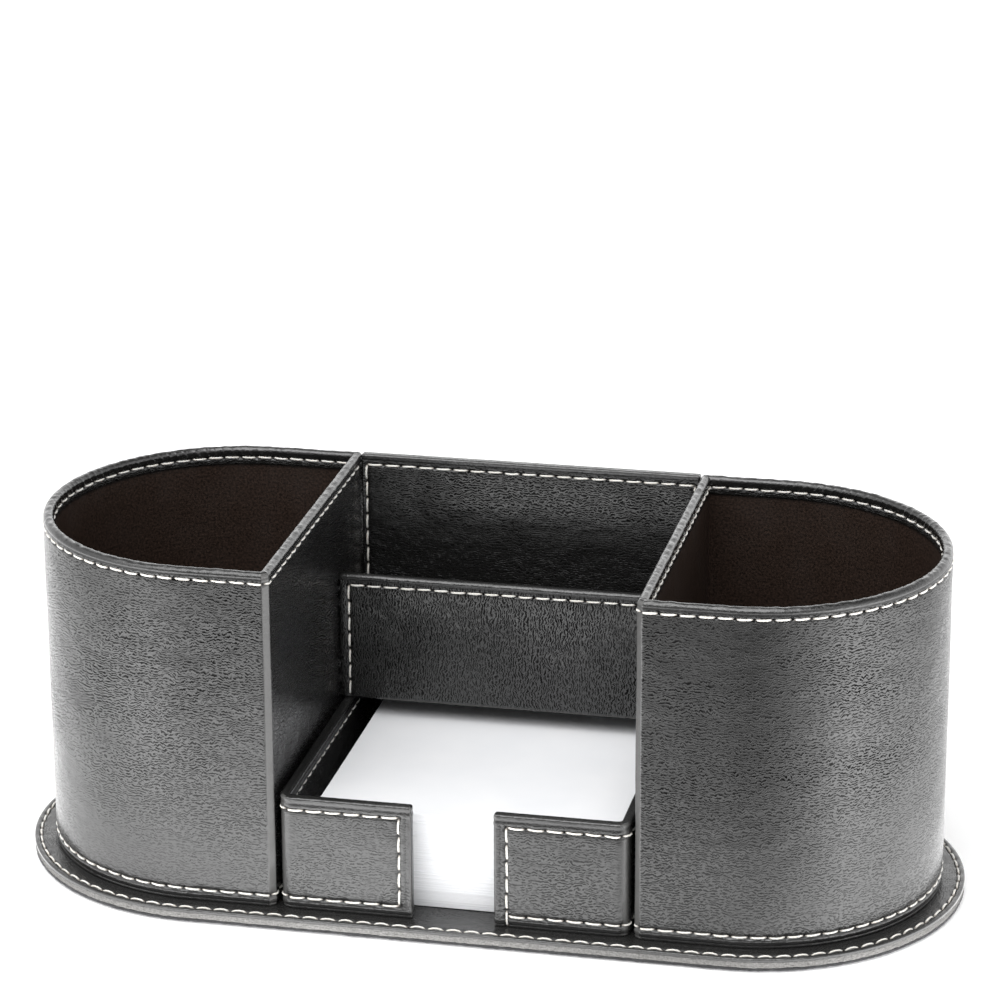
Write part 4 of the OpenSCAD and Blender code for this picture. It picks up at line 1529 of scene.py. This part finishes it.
def build_floor():
    """The camera sees a pale surface; all other rays see the radiance table."""
    size, z = 6.0, -0.0004                 # half width and height, in metres
    mat_half_x, mat_radius = 0.065, 0.0515  # straight half length and end radius, in metres
    mesh = bpy.data.meshes.new("floor")
    mesh.from_pydata([(-size, -size, z), (size, -size, z), (size, size, z), (-size, size, z)],
                     [], [(0, 1, 2, 3)])
    floor = bpy.data.objects.new("floor", mesh)
    bpy.context.scene.collection.objects.link(floor)
    mat, k, bsdf = new_material("pale_floor")
    k.fill(bsdf, {"Base Color": grey(0.90), "Roughness": 0.6, "Specular IOR Level": 0.2,
                  "Emission Color": grey(1.0), "Emission Strength": 0.16})
    x, y, _ = k.split(k.new("ShaderNodeNewGeometry").outputs["Position"])
    direction = compass(k, x, y)
    past_x = k.math("MAXIMUM", k.sub(k.math("ABSOLUTE", x), mat_half_x), 0.0)
    distance = k.math("SQRT", k.add(k.mul(past_x, past_x), k.mul(y, y)))
    distance = k.sub(distance, mat_radius)
    emission = k.new("ShaderNodeEmission")
    k.fill(emission, {0: compass_bands(k, direction, distance, FLOOR, FLOOR_BLENDS), 1: PEAK})
    choice = k.new("ShaderNodeMixShader")
    k.fill(choice, {0: k.is_camera_ray(), 1: emission.outputs[0], 2: bsdf.outputs[0]})
    k.put(k.output.inputs[0], choice.outputs[0])
    mat.cycles.emission_sampling = "NONE"
    mesh.materials.append(mat)


def build_camera():
    """In front and above, looking back and down at the organiser."""
    place = np.array([0.194916, -0.885049, 0.411841])
    # yaw is clockwise from +Y seen from above, pitch is downward
    yaw, pitch, roll = (math.radians(a) for a in (-12.2988, 19.3355, -0.2626))
    forward = np.array([math.sin(yaw) * math.cos(pitch), math.cos(yaw) * math.cos(pitch),
                        -math.sin(pitch)])
    level_right = np.array([math.cos(yaw), -math.sin(yaw), 0.0])
    level_up = np.cross(level_right, forward)
    right = math.cos(roll) * level_right + math.sin(roll) * level_up
    up = -math.sin(roll) * level_right + math.cos(roll) * level_up
    data = bpy.data.cameras.new("camera")
    camera = bpy.data.objects.new("camera", data)
    bpy.context.scene.collection.objects.link(camera)
    rows = np.vstack([np.column_stack([right, up, -forward, place]), [0, 0, 0, 1]])
    camera.matrix_world = Matrix(rows.tolist())
    data.sensor_width = 36.0
    data.sensor_fit = "HORIZONTAL"
    data.lens = 143.74836
    data.clip_start = 0.05
    data.clip_end = 50.0
    bpy.context.scene.camera = camera


build_world()
build_floor()
bpy.context.scene.view_settings.view_transform = "Standard"
bpy.context.scene.view_settings.look = "None"
build_camera()
